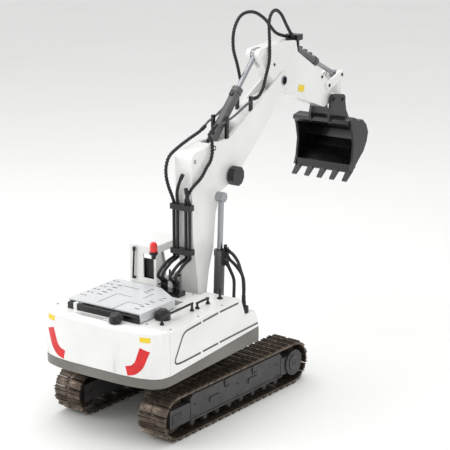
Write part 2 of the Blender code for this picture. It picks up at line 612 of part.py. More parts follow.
# ---- Hydraulic cylinders -----------------------------------------------------------------------
def make_ram(name, x, base, eye, radius, length, rod_radius, half, bore, travel, parent):
    """A barrel hinged at base and a rod that slides out of it towards eye, and back in by travel."""
    start = along(base, eye, radius + 0.002)
    end = along(base, eye, length)
    bottom = radius + 0.006
    inner = along(base, eye, bottom)
    rim = along(base, eye, length - 0.010)
    tube = cylinder((x, *start), (x, *end), radius, 20)
    head = cylinder((x, *rim), (x, *end), radius + 0.0012, 20)
    foot = pin(base, radius - 0.0005, x - half, x + half, 18)
    neck = cylinder((x, *along(base, eye, 0.003)), (x, *along(base, eye, radius + 0.004)), half - 0.0005, 12)
    hole = pin(base, bore + PIN_GAP, x - 0.02, x + 0.02)
    liner = cylinder((x, *inner), (x, *along(base, eye, length + 0.01)), rod_radius + PIN_GAP, 14)
    assemble(f"{name}_barrel", BARREL, tube, joins=[head, foot, neck], cuts=[hole, liner],
             pivot=(x, *base), parent=parent)
    rest = along(base, eye, bottom + travel + 0.002)
    shaft = cylinder((x, *rest), (x, *along(eye, base, 0.004)), rod_radius, 16)
    end_eye = pin(eye, radius * 0.95, x - half, x + half, 20)
    assemble(f"{name}_rod", BRIGHT, shaft, joins=[end_eye], pivot=(x, *eye), parent=parent)


# ---- Boom ----------------------------------------------------------------------------------------
def make_boom(parent):
    foot, eye, tip = BOOM_FOOT, LIFT_EYE, STICK_PIVOT
    cyl, hump = STICK_CYL_BASE, BOOM_HUMP
    outline = (
        arc(foot, 0.012, 190, 350, 8)
        + [offset(foot, 0.021, 0.052), offset(foot, 0.036, 0.094), offset(eye, -0.001, -0.030)]
        + arc(eye, 0.013, -35, 20, 3)
        + [offset(eye, 0.062, 0.020), offset(tip, -0.083, -0.092)]
        + arc(tip, 0.0155, -50, 125, 10)
        + [offset(tip, -0.075, -0.021), offset(hump, 0.046, 0.010)]
        + arc(offset(hump, 0.004, -0.002), 0.0135, 55, 110, 3)
        + [offset(hump, -0.050, 0.004)]
        + arc(offset(hump, -0.057, -0.010), 0.0125, 100, 170, 4)
        + [offset(eye, -0.0705, -0.060), offset(foot, -0.014, 0.044)])
    body = side_prism(outline, -BOOM_HALF, BOOM_HALF)
    # The fork at the tip takes the stick's swing.
    reach = (Vector(STICK_EYE) - Vector(STICK_PIVOT)).length + 0.016
    fork = [offset(tip, 0.05, -0.06), offset(tip, 0.05, 0.06), offset(tip, -0.01, 0.06)]
    fork += arc(tip, 0.029, 110, 265, 8)
    slot = side_prism(fork, -SLOT_HALF, SLOT_HALF)
    # The lever's eye passes over the boom's back in a shallow trough.
    trough = side_prism(
        [offset(tip, -reach - 0.004, -0.030), offset(tip, -0.020, -0.0145),
         offset(tip, -0.020, 0.050), offset(tip, -reach - 0.004, 0.050)], -SLOT_HALF, SLOT_HALF)
    pocket = side_prism(
        [offset(cyl, -0.014, -0.0125), offset(cyl, 0.080, -0.0125), offset(cyl, 0.080, 0.1),
         offset(cyl, -0.014, 0.1)],
        -SMALL_EYE_HALF - 0.0055, SMALL_EYE_HALF + 0.0055)
    bosses = [pin(eye, 0.009, *sorted((side * (BOOM_HALF - 0.002), side * (TOWER_OUT - 0.0005))), 24)
              for side in (-1, 1)]
    bore = [pin(foot, BIG_PIN + PIN_GAP, -0.05, 0.05), pin(tip, HOLLOW_PIN + PIN_GAP, -0.05, 0.05, 22)]
    cut_first(body, "boom_pockets", [slot, trough, pocket, *bore], parent)
    bosses.append(pin(cyl, SMALL_PIN, -BOOM_HALF - 0.001, BOOM_HALF + 0.001))
    assemble("boom", WHITE, body, joins=bosses, pivot=(0, *foot), parent=parent, smooth=False)
    hollow = pin(tip, HOLLOW_PIN - 0.0016, -0.05, 0.05, 22)
    assemble("stick_pivot_pin", BRIGHT, pin(tip, HOLLOW_PIN, -BOOM_HALF - 0.0015, BOOM_HALF + 0.0015, 22),
             cuts=[hollow], parent=parent)

    # The work lamp is screwed to the boom's right side, above the lift cylinder's eye.
    lamp = (eye[0] + 0.049, eye[1] + 0.028)
    shell = pin(lamp, 0.018, BOOM_HALF + 0.003, BOOM_HALF + 0.016, 10)
    plate = pin(lamp, 0.008, BOOM_HALF + GAP, BOOM_HALF + 0.005, 16)
    assemble("boom_lamp", BLACK, shell, joins=[plate], parent=parent)
    # Clamps hold the hoses to the boom's back.
    for name, z, rear in (("lower_clamp", 0.269, 0.0035), ("upper_clamp", 0.349, 0.0023)):
        bar = box((-0.0215, CLAMPED_Y - 0.0058, z - 0.005), (0.0215, rear, z + 0.005))
        ways = [cylinder((x, CLAMPED_Y, z - 0.02), (x, CLAMPED_Y, z + 0.02), HOSE + 0.0004, 14) for x in HOSE_X]
        assemble(name, BLACK, bar, cuts=ways, parent=parent)


# ---- Stick, bucket and linkage -----------------------------------------------------------------
def make_stick(parent):
    pivot, eye, cyl = STICK_PIVOT, STICK_EYE, BUCKET_CYL_BASE
    rocker, tip = ROCKER_PIVOT, BUCKET_PIN
    outline = (
        arc(eye, 0.0105, 100, 230, 8)
        + arc(pivot, 0.0205, 195, 285, 6)
        + [offset(tip, -0.123, 0.0225), offset(tip, -0.022, -0.0125)]
        + arc(tip, 0.0095, -110, 30, 7)
        + arc(rocker, 0.0095, 20, 75, 3)
        + [offset(rocker, -0.034, 0.036), offset(cyl, 0.014, -0.014)]
        + arc(cyl, 0.0095, 20, 100, 4)
        + [offset(cyl, -0.038, 0.012)])
    body = side_prism(outline, -STICK_HALF, STICK_HALF)
    lever = side_prism(
        arc(eye, 0.020, 60, 260, 10) + [offset(eye, 0.014, -0.030), offset(eye, 0.022, 0.0)],
        -SMALL_EYE_HALF - SIDE_GAP, SMALL_EYE_HALF + SIDE_GAP)
    pocket = side_prism(
        [offset(cyl, -0.013, -0.004), offset(cyl, -0.004, -0.0135), offset(cyl, 0.020, -0.0205),
         offset(rocker, -0.020, 0.020), offset(rocker, 0.020, 0.060), offset(cyl, 0.05, 0.08),
         offset(cyl, -0.013, 0.08)], -SMALL_EYE_HALF - 0.0045, SMALL_EYE_HALF + 0.0045)
    bores = [pin(pivot, HOLLOW_PIN + PIN_GAP, -0.05, 0.05, 22),
             pin(rocker, SMALL_PIN + PIN_GAP, -0.05, 0.05), pin(tip, BIG_PIN - 0.001 + PIN_GAP, -0.05, 0.05)]
    cut_first(body, "stick_pockets", [lever, pocket, *bores], parent)
    # A short stub on each cheek stands for the eye's pin.
    pins = [pin(cyl, SMALL_PIN, -STICK_HALF - 0.001, STICK_HALF + 0.001)]
    for side in (-1, 1):
        pins.append(pin(eye, SMALL_PIN, *sorted((side * (SMALL_EYE_HALF + 0.001), side * (STICK_HALF + 0.001)))))
    assemble("stick", WHITE, body, joins=pins, pivot=(0, *pivot), parent=parent, smooth=False)
    block = box((-0.0133, cyl[0] + 0.012, cyl[1] + 0.0065), (0.0133, cyl[0] + 0.032, cyl[1] + 0.0175))
    foot_z = cyl[1] - 0.0132
    legs = [box((x, cyl[0] + 0.015, foot_z), (x + 0.0032, cyl[0] + 0.020, cyl[1] + 0.008))
            for x in (-0.0130, 0.0098)]
    assemble("stick_hose_block", BLACK, block, joins=legs, parent=parent)


def make_linkage(parent):
    pivot, top = ROCKER_PIVOT, ROCKER_TOP
    plate = arc(pivot, 0.0085, 110, 290, 8) + arc(top, 0.0085, -70, 110, 8)
    stub = SMALL_EYE_HALF + 0.0025
    joins = [side_prism(plate, -ROCKER_OUT, -ROCKER_IN), pin(pivot, SMALL_PIN, -ROCKER_OUT + 0.0005, ROCKER_OUT - 0.0005)]
    for side in (-1, 1):
        joins.append(pin(top, SMALL_PIN, *sorted((side * stub, side * (ROCKER_OUT - 0.0005)))))
    assemble("rocker", WHITE, side_prism(plate, ROCKER_IN, ROCKER_OUT), joins=joins,
             pivot=(0, *pivot), parent=parent, smooth=False)

    # Two cheeks and a web; the lower end hangs beside the bucket's own stubs.
    low = LINK_PIN
    cheek = arc(top, 0.0075, 0, 180, 8) + arc(low, 0.0075, 180, 360, 8)
    out = STICK_HALF - 0.0002
    web_low = offset(low, -0.004, 0.012)
    web = box((-out + 0.001, web_low[0], web_low[1]), (out - 0.001, web_low[0] + 0.009, web_low[1] + 0.012))
    holes = [pin(top, SMALL_PIN + PIN_GAP, -0.05, 0.05)]
    assemble("bucket_link", WHITE, side_prism(cheek, stub + 0.0008, out),
             joins=[side_prism(cheek, -out, -stub - 0.0008), web], cuts=holes,
             pivot=(0, *top), parent=parent, smooth=False)


def make_bucket(parent):
    hinge, link = BUCKET_PIN, LINK_PIN
    half = BUCKET_WIDTH / 2
    back = [(-0.005, -0.037), (0.012, -0.034), (0.028, -0.043), (0.045, -0.043), (0.061, -0.056),
            (0.069, -0.072), (0.064, -0.090), (0.052, -0.108), (0.032, -0.123), (0.016, -0.136),
            (0.003, -0.141)]
    back = [offset(hinge, *p) for p in back]
    mouth = [offset(hinge, 0.005, -0.126), offset(hinge, 0.010, -0.089), offset(hinge, 0.000, -0.048)]
    outer = side_prism(back + mouth, -half, half)
    wall = BUCKET_WALL
    centre = Vector(offset(hinge, 0.012, -0.088))
    shrunk = []
    for p in back:
        step = Vector(p) - centre
        shrunk.append(tuple(centre + step * (1 - wall * 1.25 / step.length)))
    inside = side_prism(shrunk + [offset(hinge, -0.05, -0.130), offset(hinge, -0.05, -0.044)],
                        -half + wall, half - wall)
    # The shell is hollowed first, and its ears, lip and teeth are joined after.
    cut_first(outer, "bucket_hollow", [inside], parent)

    ear = ([offset(hinge, -0.014, -0.046), offset(hinge, 0.060, -0.046), offset(hinge, 0.048, -0.028)]
           + arc(link, 0.0105, -20, 90, 5) + arc(hinge, 0.0105, 90, 190, 6)
           + [offset(hinge, -0.018, -0.030)])
    joins = []
    for side in (-1, 1):
        joins.append(side_prism(ear, *sorted((side * EAR_IN, side * EAR_OUT))))
        joins.append(pin(link, SMALL_PIN, *sorted((side * (STICK_HALF + 0.0002), side * (EAR_OUT - 0.001)))))
        # Cutters stand proud of both side walls.
        edge = [offset(hinge, -0.008, -0.040), offset(hinge, 0.008, -0.048), offset(hinge, 0.016, -0.088),
                offset(hinge, 0.013, -0.126), offset(hinge, -0.004, -0.139), offset(hinge, 0.003, -0.122),
                offset(hinge, 0.008, -0.088), offset(hinge, 0.001, -0.058)]
        joins.append(side_prism(edge, *sorted((side * (half - 0.002), side * (half + 0.0025)))))
    beam = side_prism([offset(hinge, -0.012, -0.037), offset(hinge, 0.014, -0.036),
                       offset(hinge, 0.014, -0.047), offset(hinge, -0.003, -0.052),
                       offset(hinge, -0.015, -0.044)], -half + 0.001, half - 0.001)
    lip = side_prism([offset(hinge, 0.002, -0.1275), offset(hinge, 0.020, -0.134),
                      offset(hinge, 0.002, -0.144), offset(hinge, -0.001, -0.141)], -half - 0.001, half + 0.001)
    joins += [beam, lip]
    pitch = (BUCKET_WIDTH - 0.011) / (TOOTH_COUNT - 1)
    for i in range(TOOTH_COUNT):
        x = -BUCKET_WIDTH / 2 + 0.0055 + pitch * i
        tooth = side_prism([offset(hinge, 0.009, -0.130), offset(hinge, 0.013, -0.142),
                            offset(hinge, -0.0135, -0.1585), offset(hinge, -0.016, -0.1565)],
                           x - 0.005, x + 0.005)
        joins.append(tooth)
    bore = pin(hinge, BIG_PIN - 0.001 + PIN_GAP, -0.05, 0.05)
    assemble("bucket", BLACK, outer, joins=joins, cuts=[bore], pivot=(0, *hinge), parent=parent,
             smooth=False)
    assemble("bucket_pin", BRIGHT, pin(hinge, BIG_PIN - 0.001, -EAR_OUT - 0.001, EAR_OUT + 0.001),
             parent=parent)


# ---- Hoses ---------------------------------------------------------------------------------------
def smooth_route(points, count):
    """count points evenly along a Catmull-Rom curve through the given ones."""
    pts = [Vector(p) for p in points]
    pts = [2 * pts[0] - pts[1]] + pts + [2 * pts[-1] - pts[-2]]
    fine = []
    for i in range(1, len(pts) - 2):
        p0, p1, p2, p3 = pts[i - 1:i + 3]
        for k in range(24):
            t = k / 24
            fine.append(0.5 * ((2 * p1) + (p2 - p0) * t + (2 * p0 - 5 * p1 + 4 * p2 - p3) * t * t
                               + (3 * p1 - p0 - 3 * p2 + p3) * t ** 3))
    fine.append(pts[-2])
    lengths = [0.0]
    for a, b in zip(fine, fine[1:]):
        lengths.append(lengths[-1] + (b - a).length)
    result, j = [], 0
    for i in range(count):
        want = lengths[-1] * i / (count - 1)
        while j < len(fine) - 2 and lengths[j + 1] < want:
            j += 1
        share = (want - lengths[j]) / max(lengths[j + 1] - lengths[j], 1e-9)
        result.append(fine[j].lerp(fine[j + 1], share))
    return result


def make_hose(name, points, parent, count=36):
    route = smooth_route(points, count)
    curve = bpy.data.curves.new(name, "CURVE")
    curve.dimensions = "3D"
    spline = curve.splines.new("POLY")
    spline.points.add(len(route) - 1)
    for point, place in zip(spline.points, route):
        point.co = (*place, 1)
    curve.bevel_depth = HOSE
    curve.bevel_resolution = CORD_SIDES
    curve.use_fill_caps = True
    obj = bpy.data.objects.new(name, curve)
    bpy.context.scene.collection.objects.link(obj)
    obj.data.materials.append(material(RUBBER))
    obj.parent = parent


def make_hoses(parent):
    low, high = 0.269, 0.349
    port = DECK_Z + 0.0148

    def rising(x, back):
        """From the manifold, back in a bow, and up through both clamps."""
        y = CLAMPED_Y
        return [(x, MANIFOLD_Y, port), (x, MANIFOLD_Y, port + 0.008), (x, back, 0.236),
                (x, back + 0.024, 0.2515), (x, y - 0.0006, low - 0.012), (x, y, low - 0.006), (x, y, low + 0.010),
                (x, y, high - 0.010), (x, y, high + 0.006)]

    a, b, c, d = HOSE_X
    make_hose("outer_boom_hose", rising(a, -0.052) + [
        (a - 0.0015, -0.009, 0.3700), (a - 0.004, -0.0135, 0.384), (-0.0235, -0.0165, 0.402), (-0.0240, -0.0155, 0.421), (-0.0245, -0.004, 0.437),
        (-0.0235, 0.022, 0.448), (-0.0210, 0.050, 0.4575), (-0.0170, 0.074, 0.466), (-0.0140, 0.088, 0.4745)], parent)
    make_hose("left_boom_hose", rising(b, -0.050) + [
        (-0.0085, -0.0060, 0.374), (-0.0020, -0.0085, 0.392), (0.0050, -0.0070, 0.408)], parent, 26)
    make_hose("right_boom_hose", rising(c, -0.052) + [
        (0.0110, -0.0050, 0.366), (0.0205, -0.0025, 0.384), (0.0235, 0.020, 0.398), (0.0235, 0.036, 0.412),
        (0.0235, 0.050, 0.424), (0.0225, 0.057, 0.440), (0.0195, 0.059, 0.456), (0.0140, 0.060, 0.4655),
        (0.0125, 0.070, 0.4715), (0.0130, 0.084, 0.480)], parent)
    make_hose("outer_right_boom_hose", rising(d, -0.046) + [
        (d + 0.0005, -0.011, 0.368), (d - 0.0020, -0.0120, 0.386)], parent, 24)
    make_hose("outer_stick_hose", [
        (-0.0120, 0.200, 0.5320), (-0.0135, 0.1975, 0.5430), (-0.0125, 0.1866, 0.5694), (-0.012, 0.1730, 0.6011),
        (-0.012, 0.1755, 0.6328), (-0.012, 0.1975, 0.6560), (-0.0105, 0.2333, 0.6587), (-0.009, 0.2700, 0.6428),
        (-0.0065, 0.3020, 0.6150), (-0.006, 0.3280, 0.6050), (-0.006, 0.3492, 0.6005)], parent, 38)
    make_hose("inner_stick_hose", [
        (0.0150, 0.198, 0.5080), (0.0175, 0.2110, 0.5110), (0.0190, 0.2230, 0.5235), (0.0180, 0.2350, 0.5455),
        (0.0180, 0.2460, 0.5715), (0.0168, 0.2480, 0.6040), (0.0140, 0.2506, 0.6394), (0.0120, 0.2620, 0.6550),
        (0.0090, 0.2820, 0.6580), (0.0070, 0.3030, 0.6475), (0.0060, 0.3235, 0.6250), (0.006, 0.3390, 0.6080),
        (0.006, 0.3484, 0.6020)], parent, 38)
    x, y = UNION_AT
    make_hose("lift_hose", [
        (x, y, SHELF_Z + 0.0205), (x - 0.0005, y, SHELF_Z + 0.045), (x - 0.002, y, SHELF_Z + 0.062),
        (0.0960, 0.036, 0.2400), (0.0840, 0.045, 0.2520), (0.0680, 0.056, 0.2580), (0.0540, 0.066, 0.2590),
        (0.0420, 0.070, 0.2610)], parent)


def main():
    clear_scene()
    tracks = frame_empty("undercarriage_frame", TRACK_TURN)
    house = frame_empty("house_frame")
    make_undercarriage(tracks)
    make_house(house)
    make_bay(house)
    make_cab(house)
    for side, name in ((-1, "left_lift"), (1, "right_lift")):
        make_ram(name, side * LIFT_X, LIFT_BASE, LIFT_EYE, LIFT_BARREL, LIFT_BARREL_LENGTH, LIFT_ROD,
                 EYE_HALF, SMALL_PIN, LIFT_TRAVEL, house)
    make_boom(house)
    make_ram("stick_cylinder", 0, STICK_CYL_BASE, STICK_EYE, STICK_BARREL, STICK_BARREL_LENGTH, SMALL_ROD,
             SMALL_EYE_HALF, SMALL_PIN, STICK_TRAVEL, house)
    make_stick(house)
    make_ram("bucket_cylinder", 0, BUCKET_CYL_BASE, ROCKER_TOP, BUCKET_BARREL, BUCKET_BARREL_LENGTH,
             SMALL_ROD, SMALL_EYE_HALF, SMALL_PIN, BUCKET_TRAVEL, house)
    make_linkage(house)
    make_bucket(house)
    make_hoses(house)


main()
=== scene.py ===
import json
import math

import bmesh
import bpy
import numpy as np
from mathutils import Matrix, Vector


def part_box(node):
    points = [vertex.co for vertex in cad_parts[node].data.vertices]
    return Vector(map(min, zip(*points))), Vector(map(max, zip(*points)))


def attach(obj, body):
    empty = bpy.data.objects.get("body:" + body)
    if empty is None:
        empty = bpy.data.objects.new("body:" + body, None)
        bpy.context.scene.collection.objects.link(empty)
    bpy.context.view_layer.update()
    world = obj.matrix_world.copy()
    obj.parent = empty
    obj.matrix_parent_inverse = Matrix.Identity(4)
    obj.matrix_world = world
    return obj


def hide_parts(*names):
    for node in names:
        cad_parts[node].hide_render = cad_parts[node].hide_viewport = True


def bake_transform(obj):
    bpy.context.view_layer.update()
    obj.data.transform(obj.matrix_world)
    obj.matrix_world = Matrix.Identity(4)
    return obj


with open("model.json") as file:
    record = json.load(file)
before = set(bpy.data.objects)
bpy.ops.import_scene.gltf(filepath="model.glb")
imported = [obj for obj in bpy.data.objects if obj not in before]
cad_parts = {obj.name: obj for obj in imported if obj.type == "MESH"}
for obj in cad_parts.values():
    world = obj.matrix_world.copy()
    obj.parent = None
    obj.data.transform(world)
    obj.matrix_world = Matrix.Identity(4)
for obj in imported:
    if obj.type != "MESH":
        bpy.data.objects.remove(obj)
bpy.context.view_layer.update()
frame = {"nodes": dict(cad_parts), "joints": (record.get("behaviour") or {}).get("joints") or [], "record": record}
nodes = frame["nodes"]
joints = {joint["name"]: joint for joint in frame["joints"]}
slewY = joints["slew"]["pos_m"][1]
driveAxis = joints["right_drive_spin"]["axis"]
trackTurn = math.atan2(driveAxis[1], driveAxis[0])
print("frame loaded")


# Places
def onHouse(x, y, z):
    return Vector((x, y + slewY, z))


def onHouseAll(points):
    return [onHouse(*point) for point in points]


def joined(*words):
    parts = "_".join(words).split("_")
    return parts[0] + "".join(part[0].upper() + part[1:] for part in parts[1:])


toTracks = Matrix.Translation((0, slewY, 0)) @ Matrix.Rotation(trackTurn, 4, "Z")


# Geometry. Each surface is a pair: an array of points and a list of faces.
def gridFaces(rows, columns, closed=True):
    faces = []
    for i in range(rows - 1):
        for j in range(columns if closed else columns - 1):
            k = (j + 1) % columns
            faces.append((i * columns + j, i * columns + k, (i + 1) * columns + k, (i + 1) * columns + j))
    return faces


def merge(surfaces):
    points = []
    faces = []
    count = 0
    for somePoints, someFaces in surfaces:
        points.append(np.asarray(somePoints, float))
        faces += [tuple(index + count for index in face) for face in someFaces]
        count += len(somePoints)
    return np.concatenate(points), faces


def smoothRoute(points, count):
    # Catmull-Rom: each stretch is the cubic whose slope at a point joins its two neighbours.
    given = [Vector(p) for p in points]
    given = [2 * given[0] - given[1]] + given + [2 * given[-1] - given[-2]]
    fine = []
    for i in range(1, len(given) - 2):
        p0, p1, p2, p3 = given[i - 1:i + 3]
        for k in range(24):
            t = k / 24
            fine.append(0.5 * ((2 * p1) + (p2 - p0) * t + (2 * p0 - 5 * p1 + 4 * p2 - p3) * t * t
                               + (3 * p1 - p0 - 3 * p2 + p3) * t ** 3))
    fine.append(given[-2])
    fine = np.array(fine)
    steps = np.linalg.norm(np.diff(fine, axis=0), axis=1)
    along = np.concatenate([[0], np.cumsum(steps)])
    wanted = np.linspace(0, along[-1], count)
    return np.stack([np.interp(wanted, along, fine[:, k]) for k in range(3)], axis=1)


def routeLength(route):
    return float(np.linalg.norm(np.diff(route, axis=0), axis=1).sum())


ridgeFade = 0.010


def tube(route, radius, sides=14, ridge=0.0, pitch=0.004, ridgeAbove=0.0):
    # A circle carried along the route; its radius can rise along a helix of the given pitch.
    # The helix fades in over the height ridgeFade, from ridgeAbove upwards.
    route = np.asarray(route, float)
    tangents = np.gradient(route, axis=0)
    tangents /= np.linalg.norm(tangents, axis=1)[:, None]
    side = np.cross(tangents[0], [0.31, 0.83, 0.47])
    side /= np.linalg.norm(side)
    along = np.concatenate([[0], np.cumsum(np.linalg.norm(np.diff(route, axis=0), axis=1))])
    angles = np.linspace(0, 2 * math.pi, sides, endpoint=False)
    points = []
    for centre, tangent, s in zip(route, tangents, along):
        side = side - tangent * side.dot(tangent)
        side /= np.linalg.norm(side)
        other = np.cross(tangent, side)
        share = min(max((centre[2] - ridgeAbove) / ridgeFade, 0.0), 1.0)
        swell = radius + ridge * share * np.cos(2 * math.pi * s / pitch - angles)
        points.append(centre + swell[:, None] * (np.cos(angles)[:, None] * side
                                                 + np.sin(angles)[:, None] * other))
    faces = gridFaces(len(route), sides)
    faces.append(tuple(range(sides))[::-1])
    faces.append(tuple(range((len(route) - 1) * sides, len(route) * sides)))
    return np.concatenate(points), faces


def turned(profile, centre, axis, sides=24, start=0.0):
    # A profile of (distance along the axis, radius) turned about the axis.
    axis = np.array(Vector(axis).normalized())
    side = np.cross(axis, [0.0, 0.0, 1.0] if abs(axis[2]) < 0.9 else [0.0, 1.0, 0.0])
    side /= np.linalg.norm(side)
    other = np.cross(axis, side)
    angles = np.linspace(0, 2 * math.pi, sides, endpoint=False) + start
    ring = np.cos(angles)[:, None] * side + np.sin(angles)[:, None] * other
    points = [np.array(centre) + axis * s + ring * r for s, r in profile]
    faces = gridFaces(len(profile), sides)
    faces.append(tuple(range(sides))[::-1])
    faces.append(tuple(range((len(profile) - 1) * sides, len(profile) * sides)))
    return np.concatenate(points), faces


def slab(outline, step):
    # A flat outline moved along a step.
    base = np.array([tuple(p) for p in outline], float)
    count = len(base)
    points = np.concatenate([base, base + np.array(tuple(step))])
    faces = [tuple(range(count))[::-1], tuple(range(count, 2 * count))]
    for i in range(count):
        k = (i + 1) % count
        faces.append((i, k, count + k, count + i))
    return points, faces


def block(low, high):
    x0, y0, z0 = low
    x1, y1, z1 = high
    return slab([(x0, y0, z0), (x1, y0, z0), (x1, y1, z0), (x0, y1, z0)], (0, 0, z1 - z0))


def boltHead(centre, axis, radius, height, sides=6):
    # A short prism with its rim taken off.
    return turned([(-0.0004, radius), (height * 0.7, radius), (height, radius * 0.82), (height,
        radius * 0.3)],
                  centre, axis, sides)


def moved(surface, matrix):
    points, faces = surface
    turn = np.array(matrix)
    return points @ turn[:3, :3].T + turn[:3, 3], faces


def makePiece(name, surfaces, smooth=True, bevel=0.0, sharp=35):
    points, faces = merge(surfaces)
    data = bpy.data.meshes.new(name)
    data.from_pydata([tuple(p) for p in points], [], faces)
    data.validate()
    turnOutward(data)
    obj = bpy.data.objects.new(name, data)
    bpy.context.scene.collection.objects.link(obj)
    if smooth:
        data.shade_smooth()
        data.set_sharp_from_angle(angle=math.radians(sharp))
    if bevel:
        edge = obj.modifiers.new("Edges", "BEVEL")
        edge.width = bevel
        edge.segments = 2
        edge.limit_method = "ANGLE"
        edge.angle_limit = math.radians(40)
        edge.harden_normals = False
    return obj


def turnOutward(data):
    work = bmesh.new()
    work.from_mesh(data)
    bmesh.ops.recalc_face_normals(work, faces=work.faces)
    work.to_mesh(data)
    work.free()


# Materials
def colourOf(code):
    parts = [int(code[i:i + 2], 16) / 255 for i in (1, 3, 5)]
    return tuple(p / 12.92 if p <= 0.04045 else ((p + 0.055) / 1.055) ** 2.4 for p in parts) + (1.0,)


def addNode(tree, kind, settings=None, links=None):
    node = tree.nodes.new(kind)
    for key, value in (settings or {}).items():
        if key in node.inputs:
            node.inputs[key].default_value = value
        else:
            setattr(node, key, value)
    for key, source in (links or {}).items():
        tree.links.new(source, node.inputs[key])
    return node


def startMaterial(name):
    made = bpy.data.materials.new(name)
    made.use_nodes = True
    tree = made.node_tree
    tree.nodes.clear()
    place = addNode(tree, "ShaderNodeTexCoord")
    return made, tree, place.outputs["Object"]


def endMaterial(tree, shader):
    addNode(tree, "ShaderNodeOutputMaterial", links={"Surface": shader})


def surfaceMaterial(name, look):
    # look: colour, shade (the colour of the uneven patches), rough, roughSpread, metal, coat,
    # grainScale and grainHeight of the fine relief, patchScale of the uneven patches.
    made, tree, place = startMaterial(name)
    patches = addNode(tree, "ShaderNodeTexNoise", {"Scale": look["patchScale"], "Detail": 5.0,
                                                   "Roughness": 0.55},
                      {"Vector": place})
    spread = addNode(tree, "ShaderNodeMapRange", {"From Min": 0.35, "From Max": 0.7, "To Min": 0.0,
                                                  "To Max": 1.0},
                     {"Value": patches.outputs["Fac"]})
    tint = addNode(tree, "ShaderNodeMix", {"data_type": "RGBA"})
    tint.inputs[6].default_value = colourOf(look["colour"])
    tint.inputs[7].default_value = colourOf(look["shade"])
    tree.links.new(spread.outputs["Result"], tint.inputs[0])
    rough = addNode(tree, "ShaderNodeMapRange",
                    {"From Min": 0.3, "From Max": 0.7, "To Min": look["rough"] - look["roughSpread"],
                     "To Max": look["rough"] + look["roughSpread"]}, {"Value": patches.outputs["Fac"]})
    grain = addNode(tree, "ShaderNodeTexNoise", {"Scale": look["grainScale"], "Detail": 2.0},
                    {"Vector": place})
    relief = addNode(tree, "ShaderNodeBump", {"Strength": look["grainHeight"], "Distance": 0.0002},
                     {"Height": grain.outputs["Fac"]})
    shader = addNode(tree, "ShaderNodeBsdfPrincipled",
                     {"Metallic": look["metal"], "Coat Weight": look["coat"], "Coat Roughness": 0.12},
                     {"Base Color": tint.outputs[2], "Roughness": rough.outputs["Result"],
                      "Normal": relief.outputs["Normal"]})
    endMaterial(tree, shader.outputs["BSDF"])
    return made


def turnedSteel(name, colour, rough, ringScale):
    # Ground steel: fine rings of relief along the height of the object.
    made, tree, place = startMaterial(name)
    rings = addNode(tree, "ShaderNodeTexWave", {"Scale": ringScale, "Distortion": 0.6, "Detail": 1.0,
                                                "bands_direction": "Z"}, {"Vector": place})
    smear = addNode(tree, "ShaderNodeTexNoise", {"Scale": 60.0, "Detail": 4.0}, {"Vector": place})
    wear = addNode(tree, "ShaderNodeMapRange", {"To Min": rough - 0.05, "To Max": rough + 0.1},
                   {"Value": smear.outputs["Fac"]})
    relief = addNode(tree, "ShaderNodeBump", {"Strength": 0.06, "Distance": 0.0001},
                     {"Height": rings.outputs["Fac"]})
    shader = addNode(tree, "ShaderNodeBsdfPrincipled", {"Base Color": colourOf(colour), "Metallic": 1.0},
                     {"Roughness": wear.outputs["Result"], "Normal": relief.outputs["Normal"]})
    endMaterial(tree, shader.outputs["BSDF"])
    return made


# Enamel sprayed on metal or hard plastic, gloss white.
whiteEnamel = surfaceMaterial("glossWhiteSprayEnamel", {
    "colour": "#f0f0ee", "shade": "#e6e6e4", "rough": 0.24, "roughSpread": 0.05, "metal": 0.0, "coat": 0.35,
    "grainScale": 900.0, "grainHeight": 0.05, "patchScale": 9.0})
# Satin warm grey enamel of the upper frame.
frameEnamel = surfaceMaterial("satinWarmGreyEnamel", {
    "colour": "#74716c", "shade": "#686560", "rough": 0.42, "roughSpread": 0.08, "metal": 0.0, "coat": 0.1,
    "grainScale": 1200.0, "grainHeight": 0.1, "patchScale": 14.0})
# Pale grey satin enamel of the engine hood.
hoodEnamel = surfaceMaterial("satinPaleGreyEnamel", {
    "colour": "#d8dadc", "shade": "#cccfd2", "rough": 0.3, "roughSpread": 0.06, "metal": 0.0, "coat": 0.25,
    "grainScale": 900.0, "grainHeight": 0.08, "patchScale": 18.0})
# Dark grey powder coat of the undercarriage.
chassisCoat = surfaceMaterial("darkGreyPowderCoat", {
    "colour": "#403e3e", "shade": "#343232", "rough": 0.45, "roughSpread": 0.08, "metal": 0.15, "coat": 0.1,
    "grainScale": 1500.0, "grainHeight": 0.2, "patchScale": 30.0})
# Cast steel, chemically browned and rubbed bright on its high spots.
brownedSteel = surfaceMaterial("brownedCastSteel", {
    "colour": "#75695e", "shade": "#4f463e", "rough": 0.4, "roughSpread": 0.14, "metal": 0.85, "coat": 0.0,
    "grainScale": 700.0, "grainHeight": 0.25, "patchScale": 70.0})
# Black gloss enamel. The same black also paints the shade in the bores, the hood recess and the slot at the cab's
# foot.
blackEnamelAndShade = surfaceMaterial("glossBlackEnamel", {
    "colour": "#070708", "shade": "#0e0e0f", "rough": 0.3, "roughSpread": 0.07, "metal": 0.0, "coat": 0.08,
    "grainScale": 900.0, "grainHeight": 0.08, "patchScale": 25.0})
# Mid grey satin enamel of the cylinder barrels.
barrelEnamel = surfaceMaterial("satinMidGreyEnamel", {
    "colour": "#5c5c5e", "shade": "#505052", "rough": 0.34, "roughSpread": 0.07, "metal": 0.2, "coat": 0.15,
    "grainScale": 1000.0, "grainHeight": 0.08, "patchScale": 30.0})
# Extruded black rubber of the hoses.
hoseRubber = surfaceMaterial("extrudedBlackRubber", {
    "colour": "#0b0b0c", "shade": "#131314", "rough": 0.5, "roughSpread": 0.08, "metal": 0.0, "coat": 0.0,
    "grainScale": 2500.0, "grainHeight": 0.25, "patchScale": 40.0})
